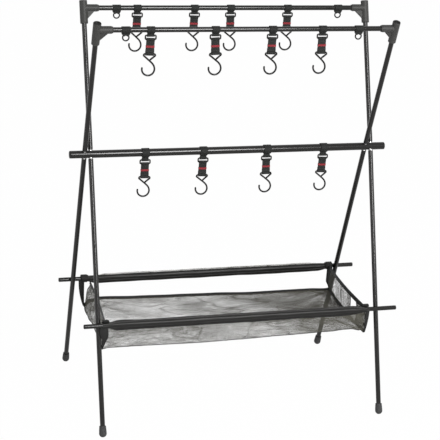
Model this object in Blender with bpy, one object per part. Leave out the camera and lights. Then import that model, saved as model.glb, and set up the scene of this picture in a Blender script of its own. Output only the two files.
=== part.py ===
"""Hanging camping shelf: two crossed tube frames, a middle bar, hook hangers and a mesh shelf.

Metres, +Z up, +Y to the back, +X to the right. The origin is on the ground, under the middle
of the whole rack. The front rail's legs run down to the back feet and the back rail's legs to
the front feet, so the two frames cross at the middle bar, which all four legs pass through.
"""
import math

import bmesh
import bpy
from mathutils import Matrix, Vector

for old in list(bpy.data.objects):
    bpy.data.objects.remove(old)

# Running gap between pieces that touch
GAP = 0.0003

# Frame tubes
TUBE_RADIUS = 0.0065
TUBE_WALL = 0.0010
MIDDLE_BAR_RADIUS = 0.0100
MIDDLE_BAR_WALL = 0.0014
SHELF_BAR_RADIUS = 0.0060
SHELF_BAR_WALL = 0.0010
BAR_PAST_LEG = 0.0455
BAR_END_WALL = 0.0030

# Places of the frame's axes: heights above the ground, half depths and the width between legs
RAIL_HEIGHT = 1.0500
MIDDLE_HEIGHT = 0.6980
RAIL_HALF_DEPTH = 0.1310
FOOT_HALF_DEPTH = 0.2410
LEG_SPACING = 0.7740
BAR_LENGTH = LEG_SPACING + 2 * BAR_PAST_LEG
FRAME_CLEARANCE = 0.0030
FRONT_SHELF_BAR_HEIGHT = 0.2815
BACK_SHELF_BAR_HEIGHT = 0.2890
FRONT_SHELF_BAR_SHIFT = 0.0150
BACK_SHELF_BAR_SHIFT = 0.0020

# Bare pin that joins the halves of a leg through the middle bar, and the bevelled tube ends
PIN_RADIUS = 0.0050
PIN_CLEARANCE = 0.0004
PIN_BURIED = 0.0250
TUBE_END_BEVEL = 0.0008

# Corner joints
CORNER_RADIUS = 0.0100
CORNER_BEVEL = 0.0008
LEG_SOCKET_BELOW = 0.0400
LEG_SOCKET_ABOVE = 0.0190
LEG_PAST_RAIL = 0.0110
RAIL_SOCKET_LENGTH = 0.0400
RAIL_SOCKET_WALL = 0.0022
COLLAR_LENGTH = 0.0035
COLLAR_STEP = 0.0011
CAP_RECESS_DEPTH = 0.0040
CAP_RECESS_RIM = 0.0018
GUSSET_THICKNESS = 0.0080
GUSSET_REACH = 0.0290
GUSSET_DROP = 0.0280
GUSSET_EDGE = 0.0015

# Rubber feet
FOOT_RADIUS = 0.0100
FOOT_TOP_RADIUS = 0.0088
FOOT_HEIGHT = 0.0300
FOOT_BALL_HEIGHT = 0.0092
FOOT_SOLE = 0.0010

# Hook hangers: a webbing loop with its rectangular ring, a sewn strap and a bent wire hook
WEBBING = 0.0015
SEAM_SLIT = 0.0004
LOOP_WIDTH = 0.0200
LOOP_NECK_WIDTH = 0.0165
RING_WIRE = 0.0016
RING_HALF_WIDTH = 0.0136
RING_HALF_HEIGHT = 0.0050
RING_CORNER = 0.0024
RING_BELOW_RAIL = 0.0072
RING_BELOW_MIDDLE_BAR = 0.0100
RING_SEAT = 0.0004
STRAP_WIDTH = 0.0220
STRAP_LENGTH = 0.0359
HOOK_WIRE = 0.0023
HOOK_EYE_HALF_WIDTH = 0.0136
HOOK_EYE_BEND = 0.0026
HOOK_SHOULDER_DROP = 0.0042
HOOK_SHOULDER_OUT = 0.0150
HOOK_JOINT_DROP = 0.0167
HOOK_BOWL_RADIUS = 0.0159
HOOK_BOWL_DROP = 0.0383
HOOK_BOWL_OFFSET = -0.0016
HOOK_BOWL_START = 12.0
HOOK_BOWL_SWEEP = 202.0
HOOK_END_GAP = 0.0006

# Tie-off rings: a webbing loop that holds a round ring
TIE_WIDTH = 0.0215
TIE_NECK_WIDTH = 0.0120
TIE_RING_RADIUS = 0.0078
TIE_RING_WIRE = 0.0018
TIE_RING_BELOW_BAR = 0.0046

# Places of the hangers and of the tie-off rings, from -1 at the left legs to 1 at the right
FRONT_HANGERS = (-0.6744, -0.2506, 0.1318, 0.4729)
BACK_HANGERS = (-0.6124, -0.2145, 0.0413, 0.4522)
MIDDLE_HANGERS = (-0.6047, -0.1990, 0.2558, 0.6693)
FRONT_TIES = (-0.8346, 0.7235)
BACK_TIES = (-0.7545, 0.8217)

# Mesh shelf, sewn to a sleeve on each shelf bar
MESH = 0.0012
SHELF_END_CLEARANCE = 0.0020
SLEEVE_TAPER = 0.0300
SLEEVE_HALF_WIDTH = 0.0085
SLEEVE_ABOVE = 0.0125
SLEEVE_BELOW = 0.0160
SHELF_BELOW_FRONT_BAR = 0.0600
SHELF_BELOW_BACK_BAR = 0.0590
SHELF_SAG = 0.0060
HEM_SAG = 0.0060
CORNER_DROP = 0.0100
CORNER_REACH = 0.0400
WALL_BOW = 0.0040
FOLD_PITCH = 0.0260
FOLD_COUNT = 3
FOLD_DEPTH = 0.0030
END_LEAN = 0.0120
END_DIP = 0.0080
END_PLEATS = 2
END_PLEAT_DEPTH = 0.0060

# Facets
TUBE_SIDES = 12
BAR_SIDES = 16
WIRE_SIDES = 6
TIE_RING_PARTS = 16

# The front shelf bar reaches further right, so the frames stand left of the origin
RACK_MIDDLE = -FRONT_SHELF_BAR_SHIFT / 2
LEG_X = LEG_SPACING / 2
FRAME_OFFSET = 2 * TUBE_RADIUS + FRAME_CLEARANCE
X_AXIS = Vector((1, 0, 0))


def leg_depth(height):
    """How far a lower leg stands from the middle plane at a height."""
    return FOOT_HALF_DEPTH * (1 - height / MIDDLE_HEIGHT)


LOWER_LENGTH = math.hypot(FOOT_HALF_DEPTH, MIDDLE_HEIGHT)
UPPER_LENGTH = math.hypot(RAIL_HALF_DEPTH, RAIL_HEIGHT - MIDDLE_HEIGHT)
UPPER_TILT = math.atan2(RAIL_HALF_DEPTH, RAIL_HEIGHT - MIDDLE_HEIGHT)
LOWER_TILT = math.atan2(FOOT_HALF_DEPTH, MIDDLE_HEIGHT)
BAR_STAND_OFF = (TUBE_RADIUS + SHELF_BAR_RADIUS + GAP) / math.cos(LOWER_TILT)
FRONT_BAR_Y = -leg_depth(FRONT_SHELF_BAR_HEIGHT) - BAR_STAND_OFF
BACK_BAR_Y = leg_depth(BACK_SHELF_BAR_HEIGHT) + BAR_STAND_OFF


def material(name, colour, roughness, metallic=0.0):
    """A plain Principled finish with the piece's colour."""
    mat = bpy.data.materials.new(name)
    mat.use_nodes = True
    shader = mat.node_tree.nodes["Principled BSDF"]
    shader.inputs["Base Color"].default_value = (*colour, 1.0)
    shader.inputs["Roughness"].default_value = roughness
    shader.inputs["Metallic"].default_value = metallic
    return mat


BLACK_TUBE = material("black_tube", (0.022, 0.021, 0.020), 0.35, 0.6)
CORNER_PLASTIC = material("corner_plastic", (0.065, 0.065, 0.062), 0.5)
FOOT_RUBBER = material("foot_rubber", (0.045, 0.045, 0.046), 0.75)
WEBBING_CLOTH = material("webbing_cloth", (0.026, 0.030, 0.029), 0.85)
BLACK_WIRE = material("black_wire", (0.018, 0.018, 0.017), 0.3, 0.5)
SLEEVE_CLOTH = material("sleeve_cloth", (0.028, 0.028, 0.029), 0.8)
SHELF_MESH = material("shelf_mesh", (0.16, 0.16, 0.155), 0.8)


def new_object(name, mesh, finish):
    """Put a mesh in the scene as an object at the origin."""
    if not mesh.materials:
        mesh.materials.append(finish)
    piece = bpy.data.objects.new(name, mesh)
    bpy.context.scene.collection.objects.link(piece)
    return piece


def new_piece(name, mesh, finish, x, y, z):
    """Put a named piece of the rack at a place measured from the frames' middle."""
    piece = new_object(name, mesh, finish)
    piece.location = (RACK_MIDDLE + x, y, z)
    return piece


def mesh_from(name, points, faces, sharp_angle=35.0):
    """A mesh with its faces pointing out, smooth apart from its sharp edges."""
    mesh = bpy.data.meshes.new(name)
    mesh.from_pydata([tuple(p) for p in points], [], faces)
    work = bmesh.new()
    work.from_mesh(mesh)
    bmesh.ops.recalc_face_normals(work, faces=work.faces)
    if work.calc_volume(signed=True) < 0:
        bmesh.ops.reverse_faces(work, faces=work.faces)
    work.to_mesh(mesh)
    work.free()
    mesh.shade_smooth()
    mesh.set_sharp_from_angle(angle=math.radians(sharp_angle))
    return mesh


def lathe(name, profile, frame_at, sides):
    """Turn a profile of (distance, radius) pairs about an axis that may bend.

    frame_at(distance) gives the centre and two directions across the axis there. A radius of
    zero is a pole, which starts or ends the profile; a profile without poles closes on itself.
    """
    points = []
    rings = []
    for distance, radius in profile:
        centre, across, up = frame_at(distance)
        if radius == 0:
            rings.append([len(points)])
            points.append(centre)
            continue
        rings.append([len(points) + k for k in range(sides)])
        for k in range(sides):
            turn = 2 * math.pi * k / sides
            points.append(centre + radius * (math.cos(turn) * across + math.sin(turn) * up))
    faces = []
    closed = len(rings[0]) > 1
    pairs = list(zip(rings, rings[1:]))
    if closed:
        pairs.append((rings[-1], rings[0]))
    for first, second in pairs:
        if len(first) == 1 or len(second) == 1:
            continue
        for k in range(sides):
            after = (k + 1) % sides
            faces.append((first[k], first[after], second[after], second[k]))
    if not closed:
        # The flat ends are one face each, so the pole points are left out
        faces.append(tuple(rings[1]))
        faces.append(tuple(reversed(rings[-2])))
        used = sorted({index for face in faces for index in face})
        renumber = {index: place for place, index in enumerate(used)}
        points = [points[index] for index in used]
        faces = [tuple(renumber[index] for index in face) for face in faces]
    return mesh_from(name, points, faces)


def straight(direction, start=Vector((0, 0, 0))):
    """The frame of a straight axis through start."""
    axis = Vector(direction).normalized()
    helper = X_AXIS if abs(axis.x) < 0.9 else Vector((0, 1, 0))
    across = (helper - helper.dot(axis) * axis).normalized()
    up = axis.cross(across)
    return lambda distance: (start + distance * axis, across, up)


def rod(name, start, end, radius, sides, direction):
    """A solid round bar between two distances along a direction."""
    profile = ((start, 0), (start, radius), (end, radius), (end, 0))
    return lathe(name, profile, straight(direction), sides)


def tube(name, length, radius, wall, sides):
    """An open round tube along X, centred on its origin, with bevelled rims."""
    half = length / 2
    inner = radius - wall
    bevel = TUBE_END_BEVEL / 2
    profile = (
        (-half, inner),
        (-half, radius - bevel),
        (-half + bevel, radius),
        (half - bevel, radius),
        (half, radius - bevel),
        (half, inner),
    )
    return lathe(name, profile, straight(X_AXIS), sides)


def combine(name, base, steps, finish):
    """Run Boolean steps on a mesh and give the result as one mesh.

    steps holds (operation, mesh, matrix) in the order in which the shapes meet.
    """
    body = new_object(name + "_work", base, finish)
    helpers = []
    for operation, mesh, matrix in steps:
        tool = new_object(name + "_tool", mesh, finish)
        tool.matrix_world = matrix
        tool.hide_render = True
        tool.display_type = "WIRE"
        cut = body.modifiers.new(operation, "BOOLEAN")
        cut.operation = operation
        cut.solver = "EXACT"
        cut.object = tool
        helpers.append(tool)
    bpy.context.view_layer.update()
    graph = bpy.context.evaluated_depsgraph_get()
    result = bpy.data.meshes.new_from_object(body.evaluated_get(graph))
    result.name = name
    for piece in [body, *helpers]:
        bpy.data.objects.remove(piece)
    result.shade_smooth()
    result.set_sharp_from_angle(angle=math.radians(35))
    return result


def belt(name, middle_line, thickness, half_width):
    """A closed webbing band: a loop in the Y-Z plane with a thickness and a width along X.

    half_width(y, z) gives half the band's width at a point of its middle line.
    """
    count = len(middle_line)
    inner = []
    outer = []
    for index, (y, z) in enumerate(middle_line):
        before = Vector(middle_line[index - 1])
        after = Vector(middle_line[(index + 1) % count])
        here = Vector((y, z))
        along_in = (here - before).normalized()
        along_out = (after - here).normalized()
        normal = Vector((along_in.y + along_out.y, -along_in.x - along_out.x)).normalized()
        stretch = 1 / max(0.5, normal.dot(Vector((along_out.y, -along_out.x))))
        inner.append(here - normal * thickness / 2 * stretch)
        outer.append(here + normal * thickness / 2 * stretch)
    points = []
    for side in (-1, 1):
        for row in (inner, outer):
            for (y, z), (offset_y, offset_z) in zip(middle_line, row):
                points.append((side * half_width(y, z), offset_y, offset_z))
    left_in, left_out, right_in, right_out = (k * count for k in range(4))
    faces = []
    for k in range(count):
        n = (k + 1) % count
        faces.append((left_in + k, left_in + n, left_out + n, left_out + k))
        faces.append((right_in + k, right_out + k, right_out + n, right_in + n))
        faces.append((left_out + k, left_out + n, right_out + n, right_out + k))
        faces.append((left_in + k, right_in + k, right_in + n, left_in + n))
    return mesh_from(name, points, faces)


def two_eye_line(top_radius, bottom_radius, drop, half_gap, top_count, bottom_count):
    """The middle line of a band that goes round a bar, is sewn flat and goes round a lower bar.

    The upper eye's centre is the origin and the lower eye's is drop below it. The line runs
    anticlockwise as seen with +Y to the right.
    """
    def eye(radius, centre_z, count, mid_angle):
        open_half = math.asin(min(0.95, half_gap / radius)) + math.radians(28)
        step = (2 * math.pi - 2 * open_half) / (count - 1)
        start = mid_angle - step * (count - 1) / 2
        # The flats of the eye, not its corners, lie at the radius
        corner_radius = radius / math.cos(step / 2)
        return [
            (corner_radius * math.cos(start + step * k),
             centre_z + corner_radius * math.sin(start + step * k))
            for k in range(count)
        ]

    top = eye(top_radius, 0.0, top_count, math.pi / 2)
    bottom = eye(bottom_radius, -drop, bottom_count, -math.pi / 2)
    neck_top = -math.sqrt(top_radius ** 2 - half_gap ** 2) - top_radius * 0.12
    neck_bottom = -drop + math.sqrt(bottom_radius ** 2 - half_gap ** 2) + bottom_radius * 0.25
    neck_bottom = min(neck_bottom, neck_top - WEBBING * 0.2)
    left = [(-half_gap, neck_top), (-half_gap, neck_bottom)]
    right = [(half_gap, neck_bottom), (half_gap, neck_top)]
    return top + left + bottom + right


def wire(name, path, radius, sides, closed=False):
    """A round wire along points of the X-Z plane."""
    count = len(path)
    points = []
    for index, here in enumerate(path):
        before = path[index - 1] if closed or index else here
        after = path[(index + 1) % count] if closed or index < count - 1 else here
        along = (Vector(after) - Vector(before)).normalized()
        side = Vector((-along.y, along.x))
        for k in range(sides):
            turn = 2 * math.pi * (k + 0.5) / sides
            offset = radius * math.cos(turn)
            points.append((
                here[0] + side.x * offset,
                radius * math.sin(turn),
                here[1] + side.y * offset,
            ))
    faces = []
    for ring in range(count if closed else count - 1):
        near = ring * sides
        far = ((ring + 1) % count) * sides
        for k in range(sides):
            n = (k + 1) % sides
            faces.append((near + k, near + n, far + n, far + k))
    if not closed:
        faces.append(tuple(range(sides)))
        faces.append(tuple((count - 1) * sides + k for k in reversed(range(sides))))
    return mesh_from(name, points, faces, 60.0)


def arc(centre, radius, start, end, count):
    """Points of an arc in the X-Z plane, with its angles in degrees."""
    turns = [math.radians(start + (end - start) * k / (count - 1)) for k in range(count)]
    return [(centre[0] + radius * math.cos(t), centre[1] + radius * math.sin(t)) for t in turns]


# Legs: an upper and a lower tube on a bare pin, which passes through the middle bar
def leg_frame(side):
    """The bent axis of a leg, measured down from the middle bar; side is -1 for a front rail."""
    up_axis = Vector((0, side * math.sin(UPPER_TILT), math.cos(UPPER_TILT)))
    down_axis = Vector((0, -side * math.sin(LOWER_TILT), -math.cos(LOWER_TILT)))

    def frame_at(distance):
        axis = down_axis if distance > 0 else -up_axis
        if distance == 0:
            axis = (down_axis - up_axis).normalized()
        place = distance * (down_axis if distance > 0 else -up_axis)
        return place, X_AXIS, axis.cross(X_AXIS)

    return frame_at


FOOT_BALL = FOOT_BALL_HEIGHT / math.cos(LOWER_TILT)
BORE_FLOOR = FOOT_BALL + FOOT_SOLE
LEG_BOTTOM = LOWER_LENGTH - BORE_FLOOR - GAP
LEG_TOP = UPPER_LENGTH + LEG_PAST_RAIL
SHOULDER = MIDDLE_BAR_RADIUS + GAP


def leg_mesh(side):
    inner = TUBE_RADIUS - TUBE_WALL
    rim = TUBE_RADIUS - TUBE_END_BEVEL
    profile = (
        (-PIN_BURIED, 0),
        (-PIN_BURIED, inner),
        (-LEG_TOP, inner),
        (-LEG_TOP, TUBE_RADIUS),
        (-SHOULDER - TUBE_END_BEVEL, TUBE_RADIUS),
        (-SHOULDER, rim),
        (-SHOULDER, PIN_RADIUS),
        (0, PIN_RADIUS),
        (SHOULDER, PIN_RADIUS),
        (SHOULDER, rim),
        (SHOULDER + TUBE_END_BEVEL, TUBE_RADIUS),
        (LEG_BOTTOM, TUBE_RADIUS),
        (LEG_BOTTOM, inner),
        (PIN_BURIED, inner),
        (PIN_BURIED, 0),
    )
    return lathe("leg", profile, leg_frame(side), TUBE_SIDES)


# Feet: moulded rubber cups with a ball end, flat where they stand
def foot_mesh(side):
    """A foot in the frame of its leg, whose origin is the middle crossing."""
    bore = TUBE_RADIUS + GAP
    ground = LOWER_LENGTH

    def at(above_ground, radius):
        return (ground - above_ground, radius)

    ball = [
        at(FOOT_BALL - FOOT_RADIUS * math.sin(math.radians(turn)),
           FOOT_RADIUS * math.cos(math.radians(turn)))
        for turn in (0, 25, 50, 75)
    ]
    profile = (
        at(BORE_FLOOR, 0),
        at(BORE_FLOOR, bore),
        at(FOOT_HEIGHT, bore),
        at(FOOT_HEIGHT, FOOT_TOP_RADIUS - TUBE_END_BEVEL),
        at(FOOT_HEIGHT - TUBE_END_BEVEL, FOOT_TOP_RADIUS),
        *ball,
        at(FOOT_BALL - FOOT_RADIUS, 0),
    )
    mesh = lathe("foot", profile, leg_frame(side), TUBE_SIDES)
    work = bmesh.new()
    work.from_mesh(mesh)
    sole = bmesh.ops.bisect_plane(
        work,
        geom=work.verts[:] + work.edges[:] + work.faces[:],
        plane_co=(0, 0, -MIDDLE_HEIGHT),
        plane_no=(0, 0, -1),
        clear_outer=True,
    )
    rim = [item for item in sole["geom_cut"] if isinstance(item, bmesh.types.BMEdge)]
    bmesh.ops.contextual_create(work, geom=rim)
    bmesh.ops.recalc_face_normals(work, faces=work.faces)
    work.to_mesh(mesh)
    work.free()
    mesh.set_sharp_from_angle(angle=math.radians(35))
    return mesh


# Corner joints: moulded, with a socket for the leg, one for the rail and a web between them
def corner_mesh():
    """A corner with its leg socket along Z and its rail socket along +X."""
    outside = CORNER_RADIUS
    edge = outside - CORNER_BEVEL
    bore = TUBE_RADIUS + GAP
    recess = outside - CAP_RECESS_RIM
    leg_socket = lathe("leg_socket", (
        (-LEG_SOCKET_BELOW, 0),
        (-LEG_SOCKET_BELOW, edge),
        (-LEG_SOCKET_BELOW + CORNER_BEVEL, outside),
        (LEG_SOCKET_ABOVE - CORNER_BEVEL, outside),
        (LEG_SOCKET_ABOVE, edge),
        (LEG_SOCKET_ABOVE, recess),
        (LEG_SOCKET_ABOVE - CAP_RECESS_DEPTH, recess),
        (LEG_SOCKET_ABOVE - CAP_RECESS_DEPTH, 0),
    ), straight((0, 0, 1)), BAR_SIDES)
    collar = outside - COLLAR_STEP
    rail_socket = lathe("rail_socket", (
        (0, 0),
        (0, edge),
        (RAIL_SOCKET_LENGTH - COLLAR_LENGTH, edge),
        (RAIL_SOCKET_LENGTH - COLLAR_LENGTH, collar),
        (RAIL_SOCKET_LENGTH, collar),
        (RAIL_SOCKET_LENGTH, 0),
    ), straight((1, 0, 0)), BAR_SIDES)
    outline = (
        (0, 0),
        (GUSSET_REACH, 0),
        (GUSSET_REACH, -edge + GUSSET_EDGE),
        (GUSSET_REACH - GUSSET_EDGE, -edge),
        (edge, -GUSSET_DROP),
        (0, -GUSSET_DROP),
    )
    points = [
        (x, side * GUSSET_THICKNESS / 2, z) for side in (-1, 1) for x, z in outline
    ]
    count = len(outline)
    faces = [tuple(range(count)), tuple(reversed(range(count, 2 * count)))]
    faces += [(k, (k + 1) % count, count + (k + 1) % count, count + k) for k in range(count)]
    gusset = mesh_from("gusset", points, faces)
    leg_bore = rod(
        "leg_bore", -LEG_SOCKET_BELOW - CORNER_RADIUS, LEG_PAST_RAIL + GAP, bore,
        TUBE_SIDES, (0, 0, 1))
    rail_bore = rod(
        "rail_bore", bore + RAIL_SOCKET_WALL, RAIL_SOCKET_LENGTH + CORNER_RADIUS, bore,
        TUBE_SIDES, (1, 0, 0))
    still = Matrix.Identity(4)
    return combine("corner", leg_socket, (
        ("UNION", rail_socket, still),
        ("UNION", gusset, still),
        ("DIFFERENCE", leg_bore, still),
        ("DIFFERENCE", rail_bore, still),
    ), CORNER_PLASTIC)


RAIL_END = TUBE_RADIUS + GAP + RAIL_SOCKET_WALL + GAP
rail_mesh = tube("rail", LEG_SPACING - 2 * RAIL_END, TUBE_RADIUS, TUBE_WALL, TUBE_SIDES)
corner = corner_mesh()

for rail_side, rail_name, foot_name in ((-1, "front", "back"), (1, "back", "front")):
    # The two frames stand side by side, a tube and a clearance apart
    shift = rail_side * FRAME_OFFSET / 2
    rail_y = rail_side * RAIL_HALF_DEPTH
    new_piece(rail_name + "_rail", rail_mesh, BLACK_TUBE, shift, rail_y, RAIL_HEIGHT)
    leg = leg_mesh(rail_side)
    foot = foot_mesh(rail_side)
    for end, end_name in ((-1, "left"), (1, "right")):
        x = shift + end * LEG_X
        new_piece(f"{rail_name}_rail_{end_name}_leg", leg, BLACK_TUBE, x, 0, MIDDLE_HEIGHT)
        new_piece(f"{foot_name}_{end_name}_foot", foot, FOOT_RUBBER, x, 0, MIDDLE_HEIGHT)
        joint = new_piece(
            f"{rail_name}_{end_name}_corner", corner, CORNER_PLASTIC, x, rail_y, RAIL_HEIGHT)
        turn = 0 if end < 0 else math.pi
        joint.rotation_euler = (
            Matrix.Rotation(-rail_side * UPPER_TILT, 3, "X") @ Matrix.Rotation(turn, 3, "Z")
        ).to_euler()


# Middle bar: a wider tube with plugged ends, drilled where the four leg pins pass through
def middle_bar_mesh():
    half = BAR_LENGTH / 2
    bevel = TUBE_END_BEVEL
    outside = lathe("middle_bar", (
        (-half, 0),
        (-half, MIDDLE_BAR_RADIUS - bevel),
        (-half + bevel, MIDDLE_BAR_RADIUS),
        (half - bevel, MIDDLE_BAR_RADIUS),
        (half, MIDDLE_BAR_RADIUS - bevel),
        (half, 0),
    ), straight(X_AXIS), BAR_SIDES)
    hollow = rod(
        "hollow", -half + BAR_END_WALL, half - BAR_END_WALL,
        MIDDLE_BAR_RADIUS - MIDDLE_BAR_WALL, BAR_SIDES, X_AXIS)
    steps = [("DIFFERENCE", hollow, Matrix.Identity(4))]
    mean_tilt = (UPPER_TILT + LOWER_TILT) / 2
    for side in (-1, 1):
        direction = (0, side * math.sin(mean_tilt), math.cos(mean_tilt))
        hole = rod(
            "hole", -2 * MIDDLE_BAR_RADIUS, 2 * MIDDLE_BAR_RADIUS,
            PIN_RADIUS + PIN_CLEARANCE, TUBE_SIDES, direction)
        for end in (-1, 1):
            place = Matrix.Translation((side * FRAME_OFFSET / 2 + end * LEG_X, 0, 0))
            steps.append(("DIFFERENCE", hole, place))
    return combine("middle_bar", outside, steps, BLACK_TUBE)


new_piece("middle_bar", middle_bar_mesh(), BLACK_TUBE, 0, 0, MIDDLE_HEIGHT)

shelf_bar_mesh = tube("shelf_bar", BAR_LENGTH, SHELF_BAR_RADIUS, SHELF_BAR_WALL, TUBE_SIDES)
new_piece(
    "front_shelf_bar", shelf_bar_mesh, BLACK_TUBE,
    FRONT_SHELF_BAR_SHIFT, FRONT_BAR_Y, FRONT_SHELF_BAR_HEIGHT)
new_piece(
    "back_shelf_bar", shelf_bar_mesh, BLACK_TUBE,
    BACK_SHELF_BAR_SHIFT, BACK_BAR_Y, BACK_SHELF_BAR_HEIGHT)


# Hook hangers
def pinched(full, neck, top_z, bottom_z):
    """Half the width of a band that is sewn narrower between two heights."""
    def half_width(y, z):
        if z > top_z:
            return full / 2
        share = min(1.0, (top_z - z) / (top_z - bottom_z))
        return (full + (neck - full) * share) / 2
    return half_width


def loop_mesh(bar_radius, below_bar):
    """A loop round a bar with its rectangular ring; the origin is on the bar's axis."""
    ring_top = bar_radius + below_bar
    eye = RING_WIRE - RING_SEAT + WEBBING / 2
    half_gap = (WEBBING + SEAM_SLIT) / 2
    line = two_eye_line(bar_radius + GAP + WEBBING / 2, eye, ring_top, half_gap, 11, 6)
    band = belt(
        "loop", line, WEBBING,
        pinched(LOOP_WIDTH, LOOP_NECK_WIDTH, -bar_radius * 0.6, -bar_radius - WEBBING))
    straight_half = RING_HALF_WIDTH - RING_CORNER
    straight_high = RING_HALF_HEIGHT - RING_CORNER
    centre_z = -ring_top - RING_HALF_HEIGHT
    path = []
    for quarter, (sx, sz) in enumerate(((1, 1), (-1, 1), (-1, -1), (1, -1))):
        middle = (sx * straight_half, centre_z + sz * straight_high)
        path += arc(middle, RING_CORNER, 90 * quarter, 90 * quarter + 90, 3)
    ring = wire("ring", path, RING_WIRE, WIRE_SIDES, closed=True)
    return combine("loop", band, (("UNION", ring, Matrix.Identity(4)),), WEBBING_CLOTH)


def strap_mesh():
    """A sewn strap from the ring's lower bar, its origin, to the hook's top bar."""
    top_eye = RING_WIRE + GAP + WEBBING / 2
    bottom_eye = HOOK_WIRE + GAP + WEBBING / 2
    half_gap = (WEBBING + SEAM_SLIT) / 2
    line = two_eye_line(top_eye, bottom_eye, STRAP_LENGTH, half_gap, 6, 6)
    return belt("strap", line, WEBBING, lambda y, z: STRAP_WIDTH / 2)


def hook_path():
    """The bent wire's line in the X-Z plane; the origin is the middle of its top bar."""
    joint = Vector((0.0, -HOOK_JOINT_DROP))
    shoulder_left = Vector((-HOOK_SHOULDER_OUT, -HOOK_SHOULDER_DROP))
    shoulder_right = Vector((HOOK_SHOULDER_OUT, -HOOK_SHOULDER_DROP))
    brace = (joint - shoulder_right).normalized()
    shank = (joint - shoulder_left).normalized()
    clear = 2 * HOOK_WIRE / abs(brace.x * shank.y - brace.y * shank.x) + HOOK_END_GAP
    path = [tuple(joint - brace * clear), tuple(shoulder_right + brace * HOOK_EYE_BEND)]
    eye_end = HOOK_EYE_HALF_WIDTH - HOOK_EYE_BEND
    path += [tuple(shoulder_right), (HOOK_EYE_HALF_WIDTH, -HOOK_EYE_BEND / 4), (eye_end, 0.0)]
    path += [(-x, z) for x, z in reversed(path[2:])]
    path += [tuple(shoulder_left + shank * HOOK_EYE_BEND), tuple(joint)]
    bowl = (HOOK_BOWL_OFFSET, -HOOK_BOWL_DROP)
    end = HOOK_BOWL_START - HOOK_BOWL_SWEEP
    bowl_points = arc(bowl, HOOK_BOWL_RADIUS, HOOK_BOWL_START, end, 11)
    # A smooth curve leads from the straight shank into the bowl
    start = Vector(joint)
    stop = Vector(bowl_points[0])
    reach = (stop - start).length
    turn = math.radians(HOOK_BOWL_START)
    arrive = Vector((math.sin(turn), -math.cos(turn)))
    near = start + shank * reach * 0.55
    far = stop - arrive * reach * 0.30
    for k in (1, 2, 3, 4):
        t = k / 5
        s = 1 - t
        point = s ** 3 * start + 3 * s * s * t * near + 3 * s * t * t * far + t ** 3 * stop
        path.append(tuple(point))
    return path + bowl_points


strap_shape = strap_mesh()
hook_shape = wire("hook", hook_path(), HOOK_WIRE, WIRE_SIDES)


def add_hangers(row, places, bar_y, bar_z, bar_radius, below_bar):
    """Hang a loop, a strap and a hook at each place along a bar."""
    loop_shape = loop_mesh(bar_radius, below_bar)
    strap_z = bar_z - bar_radius - below_bar - 2 * RING_HALF_HEIGHT
    for number, share in enumerate(places, 1):
        name = f"{row}_{number}"
        x = share * LEG_X
        new_piece(name + "_loop", loop_shape, WEBBING_CLOTH, x, bar_y, bar_z)
        new_piece(name + "_strap", strap_shape, WEBBING_CLOTH, x, bar_y, strap_z)
        new_piece(name + "_hook", hook_shape, BLACK_WIRE, x, bar_y, strap_z - STRAP_LENGTH)


add_hangers(
    "front", FRONT_HANGERS, -RAIL_HALF_DEPTH, RAIL_HEIGHT, TUBE_RADIUS, RING_BELOW_RAIL)
add_hangers(
    "back", BACK_HANGERS, RAIL_HALF_DEPTH, RAIL_HEIGHT, TUBE_RADIUS, RING_BELOW_RAIL)
add_hangers(
    "middle", MIDDLE_HANGERS, 0, MIDDLE_HEIGHT, MIDDLE_BAR_RADIUS, RING_BELOW_MIDDLE_BAR)


# Tie-off rings on the rails
def tie_mesh():
    """A loop round a rail with its round ring; the origin is on the rail's axis."""
    ring_top = TUBE_RADIUS + TIE_RING_BELOW_BAR
    eye = TIE_RING_WIRE - RING_SEAT + WEBBING / 2
    half_gap = (WEBBING + SEAM_SLIT) / 2
    line = two_eye_line(TUBE_RADIUS + GAP + WEBBING / 2, eye, ring_top, half_gap, 11, 6)
    band = belt(
        "tie", line, WEBBING,
        pinched(TIE_WIDTH, TIE_NECK_WIDTH, -TUBE_RADIUS * 0.8, -ring_top))
    step = 360 / TIE_RING_PARTS
    path = arc(
        (0, -ring_top - TIE_RING_RADIUS), TIE_RING_RADIUS, 0, 360 - step, TIE_RING_PARTS)
    ring = wire("ring", path, TIE_RING_WIRE, WIRE_SIDES, closed=True)
    return combine("tie", band, (("UNION", ring, Matrix.Identity(4)),), WEBBING_CLOTH)


tie_shape = tie_mesh()
for row, places, side in (("front", FRONT_TIES, -1), ("back", BACK_TIES, 1)):
    for end_name, share in zip(("left", "right"), places):
        new_piece(
            f"{row}_{end_name}_tie_ring", tie_shape, WEBBING_CLOTH,
            share * LEG_X, side * RAIL_HALF_DEPTH, RAIL_HEIGHT)


# Mesh shelf
SHELF_HALF = LEG_X - FRAME_OFFSET / 2 - TUBE_RADIUS - SHELF_END_CLEARANCE
TIGHT = SHELF_BAR_RADIUS + GAP + MESH


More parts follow.
